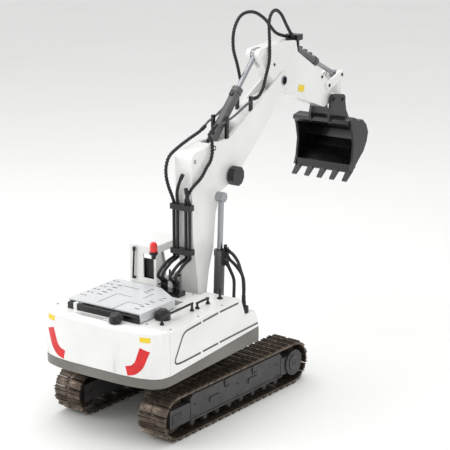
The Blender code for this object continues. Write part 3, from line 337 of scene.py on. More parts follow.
# Moulded black plastic with a fine spark-eroded grain.
mouldedPlastic = surfaceMaterial("mouldedBlackPlastic", {
    "colour": "#111213", "shade": "#18191a", "rough": 0.5, "roughSpread": 0.06, "metal": 0.0, "coat": 0.0,
    "grainScale": 3000.0, "grainHeight": 0.35, "patchScale": 20.0})
# Red reflective film.
redFilm = surfaceMaterial("redReflectiveFilm", {
    "colour": "#df1219", "shade": "#cc0c13", "rough": 0.34, "roughSpread": 0.04, "metal": 0.0, "coat": 0.1,
    "grainScale": 2200.0, "grainHeight": 0.15, "patchScale": 60.0})
# Yellow printed vinyl label.
yellowVinyl = surfaceMaterial("yellowVinyl", {
    "colour": "#f3d51e", "shade": "#e8c814", "rough": 0.35, "roughSpread": 0.05, "metal": 0.0, "coat": 0.2,
    "grainScale": 1500.0, "grainHeight": 0.08, "patchScale": 90.0})
# Dark grey printed vinyl stripe. The same dark grey also paints the shade in the hood's slots and grooves and in
# the tail vents.
darkGreyPrintAndShade = surfaceMaterial("darkGreyVinyl", {
    "colour": "#4a4a4e", "shade": "#424246", "rough": 0.35, "roughSpread": 0.05, "metal": 0.0, "coat": 0.2,
    "grainScale": 1500.0, "grainHeight": 0.08, "patchScale": 60.0})
# Clear red polycarbonate of the beacon.
redLens = surfaceMaterial("redPolycarbonate", {
    "colour": "#f0180f", "shade": "#d80f0a", "rough": 0.1, "roughSpread": 0.03, "metal": 0.0, "coat": 0.6,
    "grainScale": 400.0, "grainHeight": 0.05, "patchScale": 50.0})
# Hard-chromed and ground rods and pins.
groundSteel = turnedSteel("groundChromedSteel", "#a4a6aa", 0.26, 320.0)

slotMaterials = {
    "white_paint": whiteEnamel, "grey_paint": frameEnamel, "light_grey_paint": hoodEnamel,
    "dark_grey_paint": chassisCoat, "browned_steel": brownedSteel, "black_paint": blackEnamelAndShade,
    "bright_steel": groundSteel, "barrel_paint": barrelEnamel, "hose_rubber": hoseRubber,
    "black_plastic": mouldedPlastic, "red_lens": redLens}

for subpart in frame["record"]["subparts"]:
    data = nodes[subpart["node"]].data
    data.materials.clear()
    data.materials.append(slotMaterials[subpart["material_slot"]])
print("materials ready")


def place(obj, body, slot, finish=None):
    obj.data.materials.append(finish or slotMaterials[slot])
    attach(obj, body)
    return obj


# Track shoes
shoes = {"count": 50, "width": 0.0576, "wheelY": 0.164, "wheelZ": 0.041, "trackX": 0.096, "inner": 0.0338,
         "boltRadius": 0.0013, "boltHeight": 0.0006}


def beltPoint(s, radius):
    # Straight below, half circle in front, straight above, half circle behind, by the length s.
    reach, height = shoes["wheelY"], shoes["wheelZ"]
    straight = 2 * reach
    arcLength = math.pi * shoes["beltRadius"]
    s %= 2 * (straight + arcLength)
    if s < straight:
        return (-reach + s, height - radius)
    s -= straight
    if s < arcLength:
        a = s / shoes["beltRadius"] - math.pi / 2
        return (reach + radius * math.cos(a), height + radius * math.sin(a))
    s -= arcLength
    if s < straight:
        return (reach - s, height + radius)
    a = (s - straight) / shoes["beltRadius"] + math.pi / 2
    return (-reach + radius * math.cos(a), height + radius * math.sin(a))


def shoeSurfaces(x):
    # Each shoe is a closed section of (share of the pitch, radius), carried across the track.
    shoes["beltRadius"] = 0.0382
    total = 4 * shoes["wheelY"] + 2 * math.pi * shoes["beltRadius"]
    pitch = total / shoes["count"]
    inner = shoes["inner"]
    section = [(0.035, 0.0368), (0.07, 0.0378), (0.12, 0.0380), (0.145, 0.0409), (0.215, 0.0409), (0.24,
        0.0380),
               (0.42, 0.0379), (0.445, 0.0400), (0.515, 0.0400), (0.54, 0.0379), (0.78, 0.0378),
               (0.92, 0.0376), (0.965, 0.0366), (0.965, inner), (0.75, inner), (0.5, inner), (0.25, inner),
               (0.035, inner)]
    half = shoes["width"] / 2
    columns = [(-half, 0.0007), (-half + 0.0012, 0.0), (-0.0035, 0.0), (-0.0028, 0.0013), (0.0028, 0.0013),
               (0.0035, 0.0), (half - 0.0012, 0.0), (half, 0.0007)]
    surfaces = []
    for i in range(shoes["count"]):
        points = []
        for across, sink in columns:
            for share, radius in section:
                drop = min(sink, max(radius - 0.0362, 0.0))
                y, z = beltPoint((i + share) * pitch, radius - drop)
                points.append((x + across, y, z))
        faces = gridFaces(len(columns), len(section))
        faces.append(tuple(range(len(section)))[::-1])
        faces.append(tuple(range((len(columns) - 1) * len(section), len(columns) * len(section))))
        surfaces.append((np.array(points), faces))
        low = Vector((0.0, *beltPoint((i + 0.66) * pitch, 0.0378)))
        high = Vector((0.0, *beltPoint((i + 0.66) * pitch, 0.0388)))
        for across in (-0.019, -0.010, 0.010, 0.019):
            surfaces.append(boltHead(low + Vector((x + across, 0, 0)), high - low, shoes["boltRadius"],
                                     shoes["boltHeight"]))
    return surfaces


for side, name in ((-1, "left"), (1, "right")):
    chain = makePiece(f"{name}Shoes", [moved(s, toTracks) for s in shoeSurfaces(side * shoes["trackX"])])
    place(chain, "undercarriage", "browned_steel")
    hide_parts(f"{name}_track_chain")
print("track shoes ready")

# Details of the track frames, on their outer faces
trackFrame = {"outer": 0.120, "rollerZ": 0.0157, "rollerReach": 0.1177, "rollerCount": 8,
              "capRadius": 0.0056,
              "brackets": (-0.030, 0.048), "handles": (-0.078, 0.030)}


def frameDetails(side):
    def box(y0, y1, z0, z1, depth, back=0.0005):
        xs = sorted((side * (trackFrame["outer"] - back), side * (trackFrame["outer"] + depth)))
        return block((xs[0], y0, z0), (xs[1], y1, z1))

    surfaces = [box(-0.120, 0.120, 0.0675, 0.0695, 0.0010), box(-0.129, 0.129, 0.0232, 0.0262, 0.0016),
                box(-0.129, -0.1265, 0.0262, 0.060, 0.0008), box(0.1265, 0.129, 0.0262, 0.060, 0.0008)]
    for y in trackFrame["brackets"]:
        surfaces.append(box(y - 0.0070, y + 0.0070, 0.0600, 0.0705, 0.0024))
        for k in (-1, 0, 1):
            surfaces.append(box(y + k * 0.0045 - 0.0012, y + k * 0.0045 + 0.0012, 0.0545, 0.0605, 0.0022))
    for y in trackFrame["handles"]:
        surfaces.append(box(y, y + 0.026, 0.0480, 0.0498, 0.0018))
        surfaces.append(box(y, y + 0.0018, 0.0410, 0.0498, 0.0018))
    axis = (side, 0, 0)
    count = trackFrame["rollerCount"]
    for i in range(count):
        y = trackFrame["rollerReach"] * (2 * i / (count - 1) - 1)
        centre = (side * 0.1105, y, trackFrame["rollerZ"])
        radius = trackFrame["capRadius"]
        surfaces.append(turned([(0, radius), (0.0040, radius), (0.0052, radius * 0.8), (0.0052,
            radius * 0.45),
                                (0.0062, radius * 0.4), (0.0062, 0.0006)], centre, axis, 18))
    # Idler end plates.
    surfaces.append(box(-0.176, -0.150, 0.0300, 0.0470, 0.0012))
    for y, z in ((-0.172, 0.034), (-0.172, 0.043), (-0.154, 0.034), (-0.154, 0.043), (-0.118, 0.030),
                 (-0.118, 0.050), (0.116, 0.030), (0.116, 0.050), (0.0, 0.030), (0.0, 0.050)):
        surfaces.append(boltHead((side * (trackFrame["outer"] + 0.0010), y, z), axis, 0.0015, 0.0010))
    return surfaces


motorBolts = {"count": 12, "ring": 0.0196, "radius": 0.0014, "y": 0.164, "z": 0.041, "face": 0.1230}
for side, name in ((-1, "left"), (1, "right")):
    details = [moved(s, toTracks) for s in frameDetails(side)]
    place(makePiece(f"{name}FrameDetails", details, bevel=0.00025), "undercarriage", "dark_grey_paint")
    heads = []
    for i in range(motorBolts["count"]):
        a = 2 * math.pi * i / motorBolts["count"]
        centre = (side * motorBolts["face"], motorBolts["y"] + motorBolts["ring"] * math.cos(a),
                  motorBolts["z"] + motorBolts["ring"] * math.sin(a))
        heads.append(boltHead(centre, (side, 0, 0), motorBolts["radius"], 0.0010))
    hub = (side * 0.1245, motorBolts["y"], motorBolts["z"])
    heads.append(turned([(-0.0005, 0.0062), (0.0006, 0.0060), (0.0006, 0.0030), (-0.0002, 0.0028),
                         (-0.0002, 0.0004)],
                        hub, (side, 0, 0), 20))
    place(makePiece(f"{name}MotorBolts", [moved(s, toTracks) for s in heads]), "undercarriage",
          "dark_grey_paint")
print("track frames ready")

# The tail of the house
tail = {"middle": -0.0095, "half": 0.126, "depth": 0.050, "power": 3.4, "start": -0.190}


def tailY(x):
    # A superellipse: both coordinates' shares, raised to the power, add up to one.
    share = min(abs((x - tail["middle"]) / tail["half"]), 0.9999)
    return tail["start"] - tail["depth"] * (1 - share ** tail["power"]) ** (1 / tail["power"])


def tailRibbon(line, across=6, along=28, lift=0.0003):
    # A band of varying width in (X, Z), laid on the tail and closed behind it.
    line = np.array(line, float)
    where = np.linspace(0, 1, len(line))
    wanted = np.linspace(0, 1, along)
    centre = np.stack([np.interp(wanted, where, line[:, k]) for k in range(3)], axis=1)
    for _ in range(3):
        centre[1:-1] = (centre[:-2] + centre[1:-1] * 2 + centre[2:]) / 4
    way = np.gradient(centre[:, :2], axis=0)
    way /= np.linalg.norm(way, axis=1)[:, None]
    normal = np.stack([-way[:, 1], way[:, 0]], axis=1)
    layers = []
    for out in (lift, -0.0006):
        points = []
        for (x, z, width), n in zip(centre, normal):
            for t in np.linspace(-0.5, 0.5, across):
                px, pz = x + n[0] * width * t, z + n[1] * width * t
                points.append(onHouse(px, tailY(px) - out, pz))
        layers.append(np.array(points))
    surface = gridFaces(along, across, closed=False)
    count = along * across
    rim = ([(i * across, (i + 1) * across) for i in range(along - 1)]
           + [((i + 1) * across - 1, (i + 2) * across - 1) for i in range(along - 1)]
           + [(j, j + 1) for j in range(across - 1)]
           + [(count - across + j, count - across + j + 1) for j in range(across - 1)])
    faces = surface + [tuple(count + k for k in face)[::-1] for face in surface]
    faces += [(a, b, count + b, count + a) for a, b in rim]
    return np.concatenate(layers), faces


reflector = [(0.0890, 0.1745, 0.0175), (0.0835, 0.1590, 0.0170), (0.0790, 0.1470, 0.0165), (0.0695,
    0.1375, 0.0165),
             (0.0560, 0.1340, 0.0160)]
mirrored = [(2 * tail["middle"] - x, z, width) for x, z, width in reflector]
place(makePiece("rearReflectors", [tailRibbon(reflector), tailRibbon(mirrored)]), "house", "red_lens",
      redFilm)
labels = [tailRibbon([(x - 0.0085, z, 0.0085), (x + 0.0085, z, 0.0085)]) for x, z in ((-0.1050, 0.1935),
    (0.0895, 0.1915))]
place(makePiece("rearLabels", labels), "house", "white_paint", yellowVinyl)

# The stripe on the right cover: three runs in (Y, Z), each a thin flat band
stripe = {"x": 0.1165, "width": 0.0034, "runs": (
    ((-0.1130, 0.1925), (-0.1400, 0.1912), (-0.1540, 0.1903), (-0.1610, 0.1880), (-0.1660, 0.1835),
     (-0.1760, 0.1670),
     (-0.1855, 0.1510), (-0.1870, 0.1450), (-0.1835, 0.1415), (-0.1760, 0.1398), (-0.1600, 0.1394),
     (-0.1150, 0.1398)),
    ((-0.1080, 0.1928), (-0.0635, 0.1948)), ((-0.0585, 0.1950), (-0.0020, 0.1952)),
    ((-0.1085, 0.1400), (-0.0635, 0.1408)), ((-0.0585, 0.1410), (0.0600, 0.1414)))}


def band(points, width, x, lift=0.0003):
    points = np.array(points, float)
    way = np.gradient(points, axis=0)
    way /= np.linalg.norm(way, axis=1)[:, None]
    normal = np.stack([-way[:, 1], way[:, 0]], axis=1) * width / 2
    outline = list(points + normal) + list((points - normal)[::-1])
    surfaces = []
    count = len(points)
    for i in range(count - 1):
        corner = [outline[i], outline[i + 1], outline[2 * count - 2 - i], outline[2 * count - 1 - i]]
        surfaces.append(slab([onHouse(x - 0.0004, y, z) for y, z in corner], (lift + 0.0004, 0, 0)))
    return surfaces


strips = [s for run in stripe["runs"] for s in band(run, stripe["width"], stripe["x"])]
place(makePiece("sideStripe", strips, smooth=False), "house", "grey_paint", darkGreyPrintAndShade)
print("house markings ready")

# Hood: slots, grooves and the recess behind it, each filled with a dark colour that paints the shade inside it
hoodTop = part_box("hood")[1].z
hood = {"sink": 0.0003, "slotLift": 0.00025, "grooveLift": 0.0002, "slots": [
    *[(-0.070, y, 0.0100, 0.0026) for y in (-0.148, -0.134, -0.120, -0.106, -0.092)],
    *[(0.030, y, 0.0090, 0.0024) for y in (-0.174, -0.160, -0.146, -0.132)],
    *[(0.036, y, 0.0070, 0.0022) for y in (-0.116, -0.106)],
    *[(-0.010, y, 0.0075, 0.0022) for y in (-0.096, -0.087, -0.078)],
    *[(x, y, 0.0045, 0.0026) for x in (-0.0945, -0.0865) for y in (-0.166, -0.148, -0.130, -0.112, -0.094,
    -0.076)]],
    "grooves": [(-0.046, -0.156, 0.0012, 0.052), (-0.030, -0.130, 0.032, 0.0012), (-0.004, -0.178, 0.0012,
    0.048),
                (0.012, -0.154, 0.032, 0.0012), (-0.046, -0.090, 0.034, 0.0012), (0.006, -0.110, 0.0012,
                0.030)]}
# Painted shade: the slots and grooves are dark grey plates on the hood top, standing for the shade inside the
# openings and grooves
slots = []
for x, y, w, h in hood["slots"]:
    slots.append(block(onHouse(x - w / 2, y - h / 2, hoodTop - hood["sink"]),
                       onHouse(x + w / 2, y + h / 2, hoodTop + hood["slotLift"])))
for x, y, w, h in hood["grooves"]:
    slots.append(block(onHouse(x - w / 2, y - h / 2, hoodTop - hood["sink"]),
                       onHouse(x + w / 2, y + h / 2, hoodTop + hood["grooveLift"])))
place(makePiece("hoodSlots", slots, smooth=False), "hood_lid", "dark_grey_paint", darkGreyPrintAndShade)

# Painted shade: a black block fills the recess, standing for the shade inside it
recess = [block(onHouse(-0.098, -0.1998, 0.1990), onHouse(0.050, -0.1935, 0.2125))]
place(makePiece("hoodRecess", recess, bevel=0.0012), "house", "black_paint")
post = [block(onHouse(-0.084, -0.2012, 0.2010), onHouse(-0.077, -0.1932, 0.2140))]
place(makePiece("recessPost", post, bevel=0.0008), "house", "white_paint")
# Painted shade: thin dark grey strips on the deck stand for the shade inside the tail vent slots
vents = [block(onHouse(x, y, 0.2015), onHouse(x + 0.060, y + 0.0012, 0.2022)) for x, y in
         ((-0.062, -0.2085), (-0.070, -0.2125), (-0.056, -0.2165))]
place(makePiece("tailVents", vents, smooth=False), "house", "grey_paint", darkGreyPrintAndShade)

screws = []
for x, y in ((-0.128, -0.190), (-0.128, -0.040), (0.1085, -0.188), (0.1085, -0.040), (0.0605, -0.188),
             (0.0620, -0.020), (-0.038, -0.020), (0.034, -0.020), (-0.128, -0.110), (0.1085, -0.110)):
    screws.append(turned([(-0.0003, 0.0019), (0.0006, 0.0019), (0.0011, 0.0014), (0.0011, 0.0008),
                          (0.0005, 0.0007),
                          (0.0005, 0.0001)], onHouse(x, y, 0.200), (0, 0, 1), 16))
place(makePiece("deckScrews", screws), "house", "bright_steel")
print("hood ready")

# Pipe post on the deck beside the right lift cylinder
pipePost = [
    turned([(0, 0.0052), (0.0016, 0.0052), (0.0020, 0.0046), (0.0020, 0.0024), (0.0140, 0.0024), (0.0140,
        0.0033),
            (0.0165, 0.0033), (0.0165, 0.0012)], onHouse(0.085, -0.012, 0.2002), (0, 0, 1), 20)]
place(makePiece("pipePost", pipePost), "house", "black_paint")

# Painted shade: black strips along the foot of the cab stand for the shadow in the slot there
cabLow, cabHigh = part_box("cab_shell")
footShadeStrips = [block((cabLow.x + 0.004, cabLow.y - 0.0003, 0.1945), (cabHigh.x - 0.004, cabLow.y + 0.001, 0.1985)),
        block((cabHigh.x - 0.001, cabLow.y + 0.004, 0.2015), (cabHigh.x + 0.0003, cabHigh.y - 0.012,
        0.2045))]
place(makePiece("cabSill", footShadeStrips, smooth=False), "house", "black_paint")

# Hoses. The routes are those of the solids that they stand for.
hose = {"radius": 0.0029, "sides": 16, "ridge": 0.00042, "pitch": 0.0060, "ferrule": 0.0042,
        "longFerrule": 0.010, "shortFerrule": 0.0045,
        "wrapped": ("outer_boom_hose", "right_boom_hose", "outer_stick_hose", "inner_stick_hose"),
        "wrapAbove": 0.358, "deck": 0.200, "manifoldY": -0.040, "clampY": -0.004, "low": 0.269,
        "high": 0.349}


def risingRoute(x, back):
    port = hose["deck"] + 0.0148
    y = hose["clampY"]
    return [(x, hose["manifoldY"], port), (x, hose["manifoldY"], port + 0.008), (x, back, 0.236),
            (x, back + 0.024, 0.2515), (x, y - 0.0006, hose["low"] - 0.012), (x, y, hose["low"] - 0.006),
            (x, y, hose["low"] + 0.010), (x, y, hose["high"] - 0.010), (x, y, hose["high"] + 0.006)]


boomStart = onHouse(0, -0.040, 0.216)
boomEnd = onHouse(0, -0.005, 0.262)
stickStart = onHouse(0, 0.200, 0.532)
stickEnd = onHouse(0, 0.3450, 0.6010)
hoses = {
    "outer_boom_hose": (risingRoute(-0.0170, -0.052) + [
        (-0.0185, -0.009, 0.3700), (-0.0210, -0.0135, 0.384), (-0.0235, -0.0165, 0.402), (-0.0240,
        -0.0155, 0.421),
        (-0.0245, -0.004, 0.437), (-0.0235, 0.022, 0.448), (-0.0210, 0.050, 0.4575), (-0.0170, 0.074,
        0.466),
        (-0.0140, 0.088, 0.4745)], "house", "boom_arm", boomStart, boomEnd),
    "left_boom_hose": (risingRoute(-0.0095, -0.050) + [
        (-0.0085, -0.0060, 0.374), (-0.0020, -0.0085, 0.392), (0.0050, -0.0070, 0.408)],
        "house", "boom_arm", boomStart, boomEnd),
    "right_boom_hose": (risingRoute(0.0085, -0.052) + [
        (0.0110, -0.0050, 0.366), (0.0205, -0.0025, 0.384), (0.0235, 0.020, 0.398), (0.0235, 0.036, 0.412),
        (0.0235, 0.050, 0.424), (0.0225, 0.057, 0.440), (0.0195, 0.059, 0.456), (0.0140, 0.060, 0.4655),
        (0.0125, 0.070, 0.4715), (0.0130, 0.084, 0.480)], "house", "boom_arm", boomStart, boomEnd),
    "outer_right_boom_hose": (risingRoute(0.0165, -0.046) + [
        (0.0170, -0.011, 0.368), (0.0145, -0.0120, 0.386)], "house", "boom_arm", boomStart, boomEnd),
    "outer_stick_hose": ([
        (-0.0120, 0.200, 0.5320), (-0.0135, 0.1975, 0.5430), (-0.0125, 0.1866, 0.5694), (-0.012, 0.1730,
        0.6011),
        (-0.012, 0.1755, 0.6328), (-0.012, 0.1975, 0.6560), (-0.0105, 0.2333, 0.6587), (-0.009, 0.2700,
        0.6428),
        (-0.0065, 0.3020, 0.6150), (-0.006, 0.3280, 0.6050), (-0.006, 0.3492, 0.6005)],
        "boom_arm", "stick_arm", stickStart, stickEnd),
    "inner_stick_hose": ([
        (0.0150, 0.198, 0.5080), (0.0175, 0.2110, 0.5110), (0.0190, 0.2230, 0.5235), (0.0180, 0.2350,
        0.5455),
        (0.0180, 0.2460, 0.5715), (0.0168, 0.2480, 0.6040), (0.0140, 0.2506, 0.6394), (0.0120, 0.2620,
        0.6550),
        (0.0090, 0.2820, 0.6580), (0.0070, 0.3030, 0.6475), (0.0060, 0.3235, 0.6250), (0.006, 0.3390,
        0.6080),
        (0.006, 0.3484, 0.6020)], "boom_arm", "stick_arm", stickStart, stickEnd),
    "lift_hose": ([
        (0.1045, 0.033, 0.1870), (0.1040, 0.033, 0.2115), (0.1025, 0.033, 0.2285), (0.0960, 0.036, 0.2400),
        (0.0840, 0.045, 0.2520), (0.0680, 0.056, 0.2580), (0.0540, 0.066, 0.2590), (0.0420, 0.070, 0.2610)],
        "house", "right_lift_body", onHouse(0.1045, 0.033, 0.200), onHouse(0.0430, 0.070, 0.2605)),
    "deckHoseFront": ([
        (0.0970, 0.0430, 0.1672), (0.0962, 0.0440, 0.1800), (0.0900, 0.0560, 0.2020), (0.0790, 0.0680,
        0.2180),
        (0.0640, 0.0710, 0.2330), (0.0520, 0.0670, 0.2450), (0.0440, 0.0665, 0.2540)],
        "house", "right_lift_body", onHouse(0.0962, 0.044, 0.180), onHouse(0.0450, 0.0665, 0.2520)),
    "deckHoseRear": ([
        (0.0790, 0.0360, 0.1672), (0.0785, 0.0400, 0.1800), (0.0740, 0.0480, 0.1960), (0.0650, 0.0610,
        0.2110),
        (0.0550, 0.0660, 0.2240), (0.0445, 0.0665, 0.2400)],
        "house", "right_lift_body", onHouse(0.0785, 0.040, 0.180), onHouse(0.0450, 0.0665, 0.2390))}


def ferrules(route, reach):
    along = np.concatenate([[0], np.cumsum(np.linalg.norm(np.diff(route, axis=0), axis=1))])
    ends = []
    for first, last in ((0.0006, reach), (along[-1] - reach, along[-1] - 0.0006)):
        wanted = np.linspace(first, last, 7)
        line = np.stack([np.interp(wanted, along, route[:, k]) for k in range(3)], axis=1)
        ends.append(tube(line, hose["ferrule"] * 0.86, 16))
    return ends


for name, (points, first, second, start, end) in hoses.items():
    rough = smoothRoute(onHouseAll(points), 60)
    route = smoothRoute(onHouseAll(points), max(60, int(routeLength(rough) / 0.00105)))
    path = route[::6]
    if len(route) % 6 != 1:
        path = np.concatenate([path, route[-1:]])
    wrapped = name in hose["wrapped"]
    body = tube(route, hose["radius"], hose["sides"], hose["ridge"] if wrapped else 0.0, hose["pitch"],
                hose["wrapAbove"])
    piece = makePiece(joined(name, "line"), [body])
    piece.data.materials.append(hoseRubber)
    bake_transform(piece)
    if name in nodes:
        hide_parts(name)
    reach = hose["shortFerrule"] if name == "outer_stick_hose" else hose["longFerrule"]
    for side, collar in zip((first, second), ferrules(route, reach)):
        place(makePiece(joined(name, side, "ferrule"), [collar]), side, "black_paint")
print("hoses ready")

# Rigid pipes along the boom's back, from the boom hoses to the stick hoses
pipes = {"radius": 0.0021, "x": 0.0142}
lines = []
for points in (
        ((-0.0140, 0.0880, 0.4745), (-0.0142, 0.0960, 0.4800), (-0.0142, 0.1300, 0.4905), (-0.0140,
        0.1850, 0.5180),
         (-0.0120, 0.2000, 0.5320)),
        ((0.0130, 0.0840, 0.4800), (0.0140, 0.0960, 0.4790), (0.0146, 0.1300, 0.4850), (0.0148, 0.1800,
        0.5020),
         (0.0150, 0.1980, 0.5080))):
    lines.append(tube(smoothRoute(onHouseAll(points), 40), pipes["radius"], 14))
place(makePiece("boomPipes", lines), "boom_arm", "barrel_paint")
saddles = []
for y, low, high in ((0.1130, 0.4480, 0.4840), (0.1900, 0.4870, 0.5080)):
    for side in (-1, 1):
        xs = sorted((side * 0.0118, side * 0.0172))
        tall = 0.012 if side < 0 and y > 0.15 else 0.006
        saddles.append(block(onHouse(xs[0], y - 0.0035, low), onHouse(xs[1], y + 0.0035, high + tall)))
place(makePiece("pipeSaddles", saddles, bevel=0.0006), "boom_arm", "black_paint")

# Cylinder fittings: end rings and port blocks, given on each cylinder's own line
rams = {
    "right_lift": (0.029, (0.064, 0.134), (0.0745, 0.354), 0.125, 0.0107, "right_lift_body"),
    "left_lift": (-0.029, (0.064, 0.134), (0.0745, 0.354), 0.125, 0.0107, "left_lift_body"),
    "stick": (0.0, (0.077, 0.4395), (0.226, 0.5835), 0.129, 0.0104, "stick_cylinder_body"),
    "bucket": (0.0, (0.338, 0.587), (0.513, 0.507), 0.110, 0.0094, "bucket_cylinder_body")}
for name, (x, base, eye, length, radius, body) in rams.items():
    low, high = onHouse(x, *base), onHouse(x, *eye)
    way = (high - low).normalized()
    rings = [turned([(-0.0004, radius - 0.0006), (-0.0004, radius + 0.0002), (0.0012, radius + 0.0002),
                     (0.0012, radius - 0.0006)], low + way * (length - s), way, 28) for s in (0.010, 0.004)]
    rings.append(turned([(0, radius - 0.0014), (0, radius - 0.0006), (0.0016, radius - 0.0006),
                         (0.0016, radius - 0.0014)], low + way * 0.026, way, 28))
    place(makePiece(joined(name, "barrelRings"), rings), body, "barrel_paint")
    gland = turned([(0, radius - 0.0030), (0.0012, radius - 0.0034), (0.0012, radius - 0.0046)],
                   low + way * (length - 0.0002), way, 24)
    place(makePiece(joined(name, "gland"), [gland]), body, "black_paint")

ports = [block(onHouse(0.0385, 0.0620, 0.2330), onHouse(0.0450, 0.0760, 0.2640)),
         turned([(0, 0.0036), (0.006, 0.0036), (0.006, 0.0015)], onHouse(0.0417, 0.0690, 0.2640), (0, 0,
             1), 6)]
place(makePiece("liftPortBlock", ports, bevel=0.0005), "right_lift_body", "black_paint")


def alongRam(name, share, off, size):
    # A small block standing on a barrel: off is its height over the axis.
    x, base, eye, length, radius, body = rams[name]
    low, high = onHouse(x, *base), onHouse(x, *eye)
    way = (high - low).normalized()
    up = Vector((1, 0, 0)).cross(way)
    centre = low + way * (length * share) + up * off
    across, deep, tall = Vector((1, 0, 0)) * size[0], way * size[1], up * size[2]
    corner = [centre - across / 2 - deep / 2, centre + across / 2 - deep / 2,
              centre + across / 2 + deep / 2, centre - across / 2 + deep / 2]
    return slab([c - tall / 2 for c in corner], tall)


bumps = [alongRam("bucket", share, 0.0092, (0.007, 0.006, 0.004)) for share in (0.24, 0.42, 0.60, 0.78)]
place(makePiece("bucketBarrelBumps", bumps, bevel=0.0006), "bucket_cylinder_body", "barrel_paint")
bumps = [alongRam("stick", share, 0.0100, (0.008, 0.007, 0.004)) for share in (0.20, 0.86)]
place(makePiece("stickBarrelBumps", bumps, bevel=0.0006), "stick_cylinder_body", "black_paint")
print("cylinders ready")

# Bores as black discs that paint the shade inside them, and pin ends, on the boom and stick, on their right and
# left sides
bores = {"boom_arm": (0.0175, ((0.0705, 0.4410, 0.0046), (0.0114, 0.4279, 0.0034))),
         "stick_arm": (0.0145, ((0.4430, 0.5120, 0.0030), (0.2700, 0.5600, 0.0026)))}
for body, (half, discs) in bores.items():
    surfaces = []
    for side in (-1, 1):
        for y, z, radius in discs:
            profile = [(-0.0006, radius), (0.0003, radius), (0.0003, radius * 0.6),
                       (-0.0002, radius * 0.5), (-0.0002, 0.0003)]
            surfaces.append(turned(profile, onHouse(side * half, y, z), (side, 0, 0), 22))
    place(makePiece(joined(body, "bores"), surfaces), body, "black_paint")
tag = [slab(onHouseAll([(0.0140, 0.3545, 0.4980), (0.0140, 0.3745, 0.4935), (0.0140, 0.3772, 0.5053),
                        (0.0140, 0.3572, 0.5098)]), (0.0007, 0, 0))]
place(makePiece("stickLabel", tag, smooth=False), "stick_arm", "white_paint", yellowVinyl)
pinEnds = {"rocker_arm": (0.0184, ((0.4645, 0.4925, 0.0034), (0.5130, 0.5070, 0.0034))),
           "bucket_tool": (0.0247, ((0.4750, 0.4640, 0.0042), (0.5090, 0.4585, 0.0036)))}
for body, (half, discs) in pinEnds.items():
    surfaces = []
    for side in (-1, 1):
        for y, z, radius in discs:
            profile = [(-0.0012, radius), (0.0006, radius), (0.0010, radius * 0.8),
                       (0.0010, radius * 0.4), (0.0004, radius * 0.35), (0.0004, 0.0003)]
            surfaces.append(turned(profile, onHouse(side * half, y, z), (side, 0, 0), 22))
    place(makePiece(joined(body, "pinEnds"), surfaces), body, "black_paint")
print("arm details ready")

# Rounded edges: a merged and bevelled copy stands for each plain solid
rounded = {"width": 0.0006, "angle": 50, "nodes": (
    "boom", "stick", "counterweight", "right_cover", "left_cover", "centre_cover", "hood", "cab_shell",
    "cab_door")}
for name in rounded["nodes"]:
    data = nodes[name].data.copy()
    mesh = bmesh.new()
    mesh.from_mesh(data)
    bmesh.ops.remove_doubles(mesh, verts=mesh.verts, dist=1e-6)
    bmesh.ops.dissolve_limit(mesh, angle_limit=math.radians(0.5), verts=mesh.verts, edges=mesh.edges)
    mesh.to_mesh(data)
    mesh.free()
    piece = bpy.data.objects.new(joined(name, "rounded"), data)
    bpy.context.scene.collection.objects.link(piece)
    data.shade_smooth()
    data.set_sharp_from_angle(angle=math.radians(35))
    edge = piece.modifiers.new("Edges", "BEVEL")
    edge.width = rounded["width"]
    edge.segments = 2
    edge.limit_method = "ANGLE"
    edge.angle_limit = math.radians(rounded["angle"])
    body = next(group for group,
                members in frame["record"]["behaviour"]["bodies"].items() if name in members)
    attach(piece, body)
    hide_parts(name)
print("edges ready")

# Studio
floorData = bpy.data.meshes.new("studioFloor")
floorData.from_pydata([(-6, -6, -0.0002), (6, -6, -0.0002), (6, 6, -0.0002), (-6, 6, -0.0002)], [],
                      [(0, 1, 2, 3)])
floor = bpy.data.objects.new("studioFloor", floorData)
bpy.context.scene.collection.objects.link(floor)
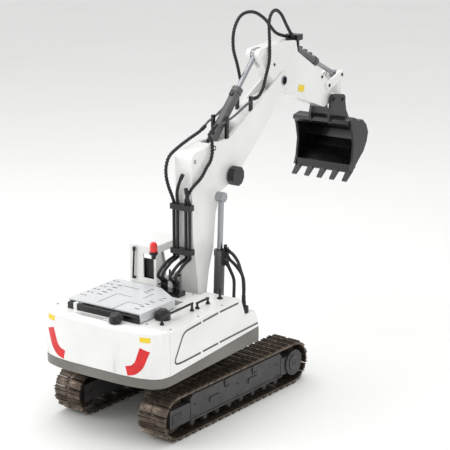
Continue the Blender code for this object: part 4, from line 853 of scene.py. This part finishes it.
# Matt white paper sweep.
floor.data.materials.append(surfaceMaterial("whitePaper", {
    "colour": "#f6f6f5", "shade": "#f3f3f2", "rough": 0.7, "roughSpread": 0.05, "metal": 0.0, "coat": 0.0,
    "grainScale": 300.0, "grainHeight": 0.02, "patchScale": 1.5}))

camera = {"azimuth": 34.15, "elevation": 15.71, "distance": 2.676, "focal": 119.3, "right": 0.0724,
          "up": 0.3037}
azimuth, elevation = math.radians(camera["azimuth"]), math.radians(camera["elevation"])
toRight = Vector((math.cos(azimuth), math.sin(azimuth), 0))
forward = Vector((-math.sin(azimuth) * math.cos(elevation), math.cos(azimuth) * math.cos(elevation),
                  -math.sin(elevation)))
upward = toRight.cross(forward)
lens = bpy.data.cameras.new("camera")
lens.lens = camera["focal"]
lens.sensor_width = 36
viewer = bpy.data.objects.new("camera", lens)
bpy.context.scene.collection.objects.link(viewer)
turn = Matrix((toRight, upward, -forward)).transposed().to_4x4()
spot = Vector((0, slewY,
               0)) - forward * camera["distance"] + toRight * camera["right"] + upward * camera["up"]
viewer.matrix_world = Matrix.Translation(spot) @ turn
bpy.context.scene.camera = viewer


def softbox(name, place3, target, size, power):
    data = bpy.data.lights.new(name, "AREA")
    data.shape = "RECTANGLE"
    data.size, data.size_y = size
    data.energy = power
    obj = bpy.data.objects.new(name, data)
    bpy.context.scene.collection.objects.link(obj)
    obj.location = place3
    obj.rotation_euler = (Vector(target) - Vector(place3)).to_track_quat("-Z", "Y").to_euler()
    return obj


softbox("topSoftbox", (-0.4, -0.2, 2.4), (0, 0, 0.2), (2.2, 2.2), 27)
softbox("rightSoftbox", (2.2, -1.2, 1.2), (0, 0, 0.25), (1.4, 1.4), 7)
softbox("leftSoftbox", (-2.0, -1.8, 1.3), (0, 0, 0.25), (1.4, 1.4), 15)

bpy.context.scene.view_settings.view_transform = "Standard"
world = bpy.data.worlds.new("studioWorld")
bpy.context.scene.world = world
world.use_nodes = True
world.node_tree.nodes.clear()
sky = addNode(world.node_tree, "ShaderNodeBackground", {"Color": colourOf("#ffffff"), "Strength": 0.78})
addNode(world.node_tree, "ShaderNodeOutputWorld", links={"Surface": sky.outputs["Background"]})
print("studio ready")
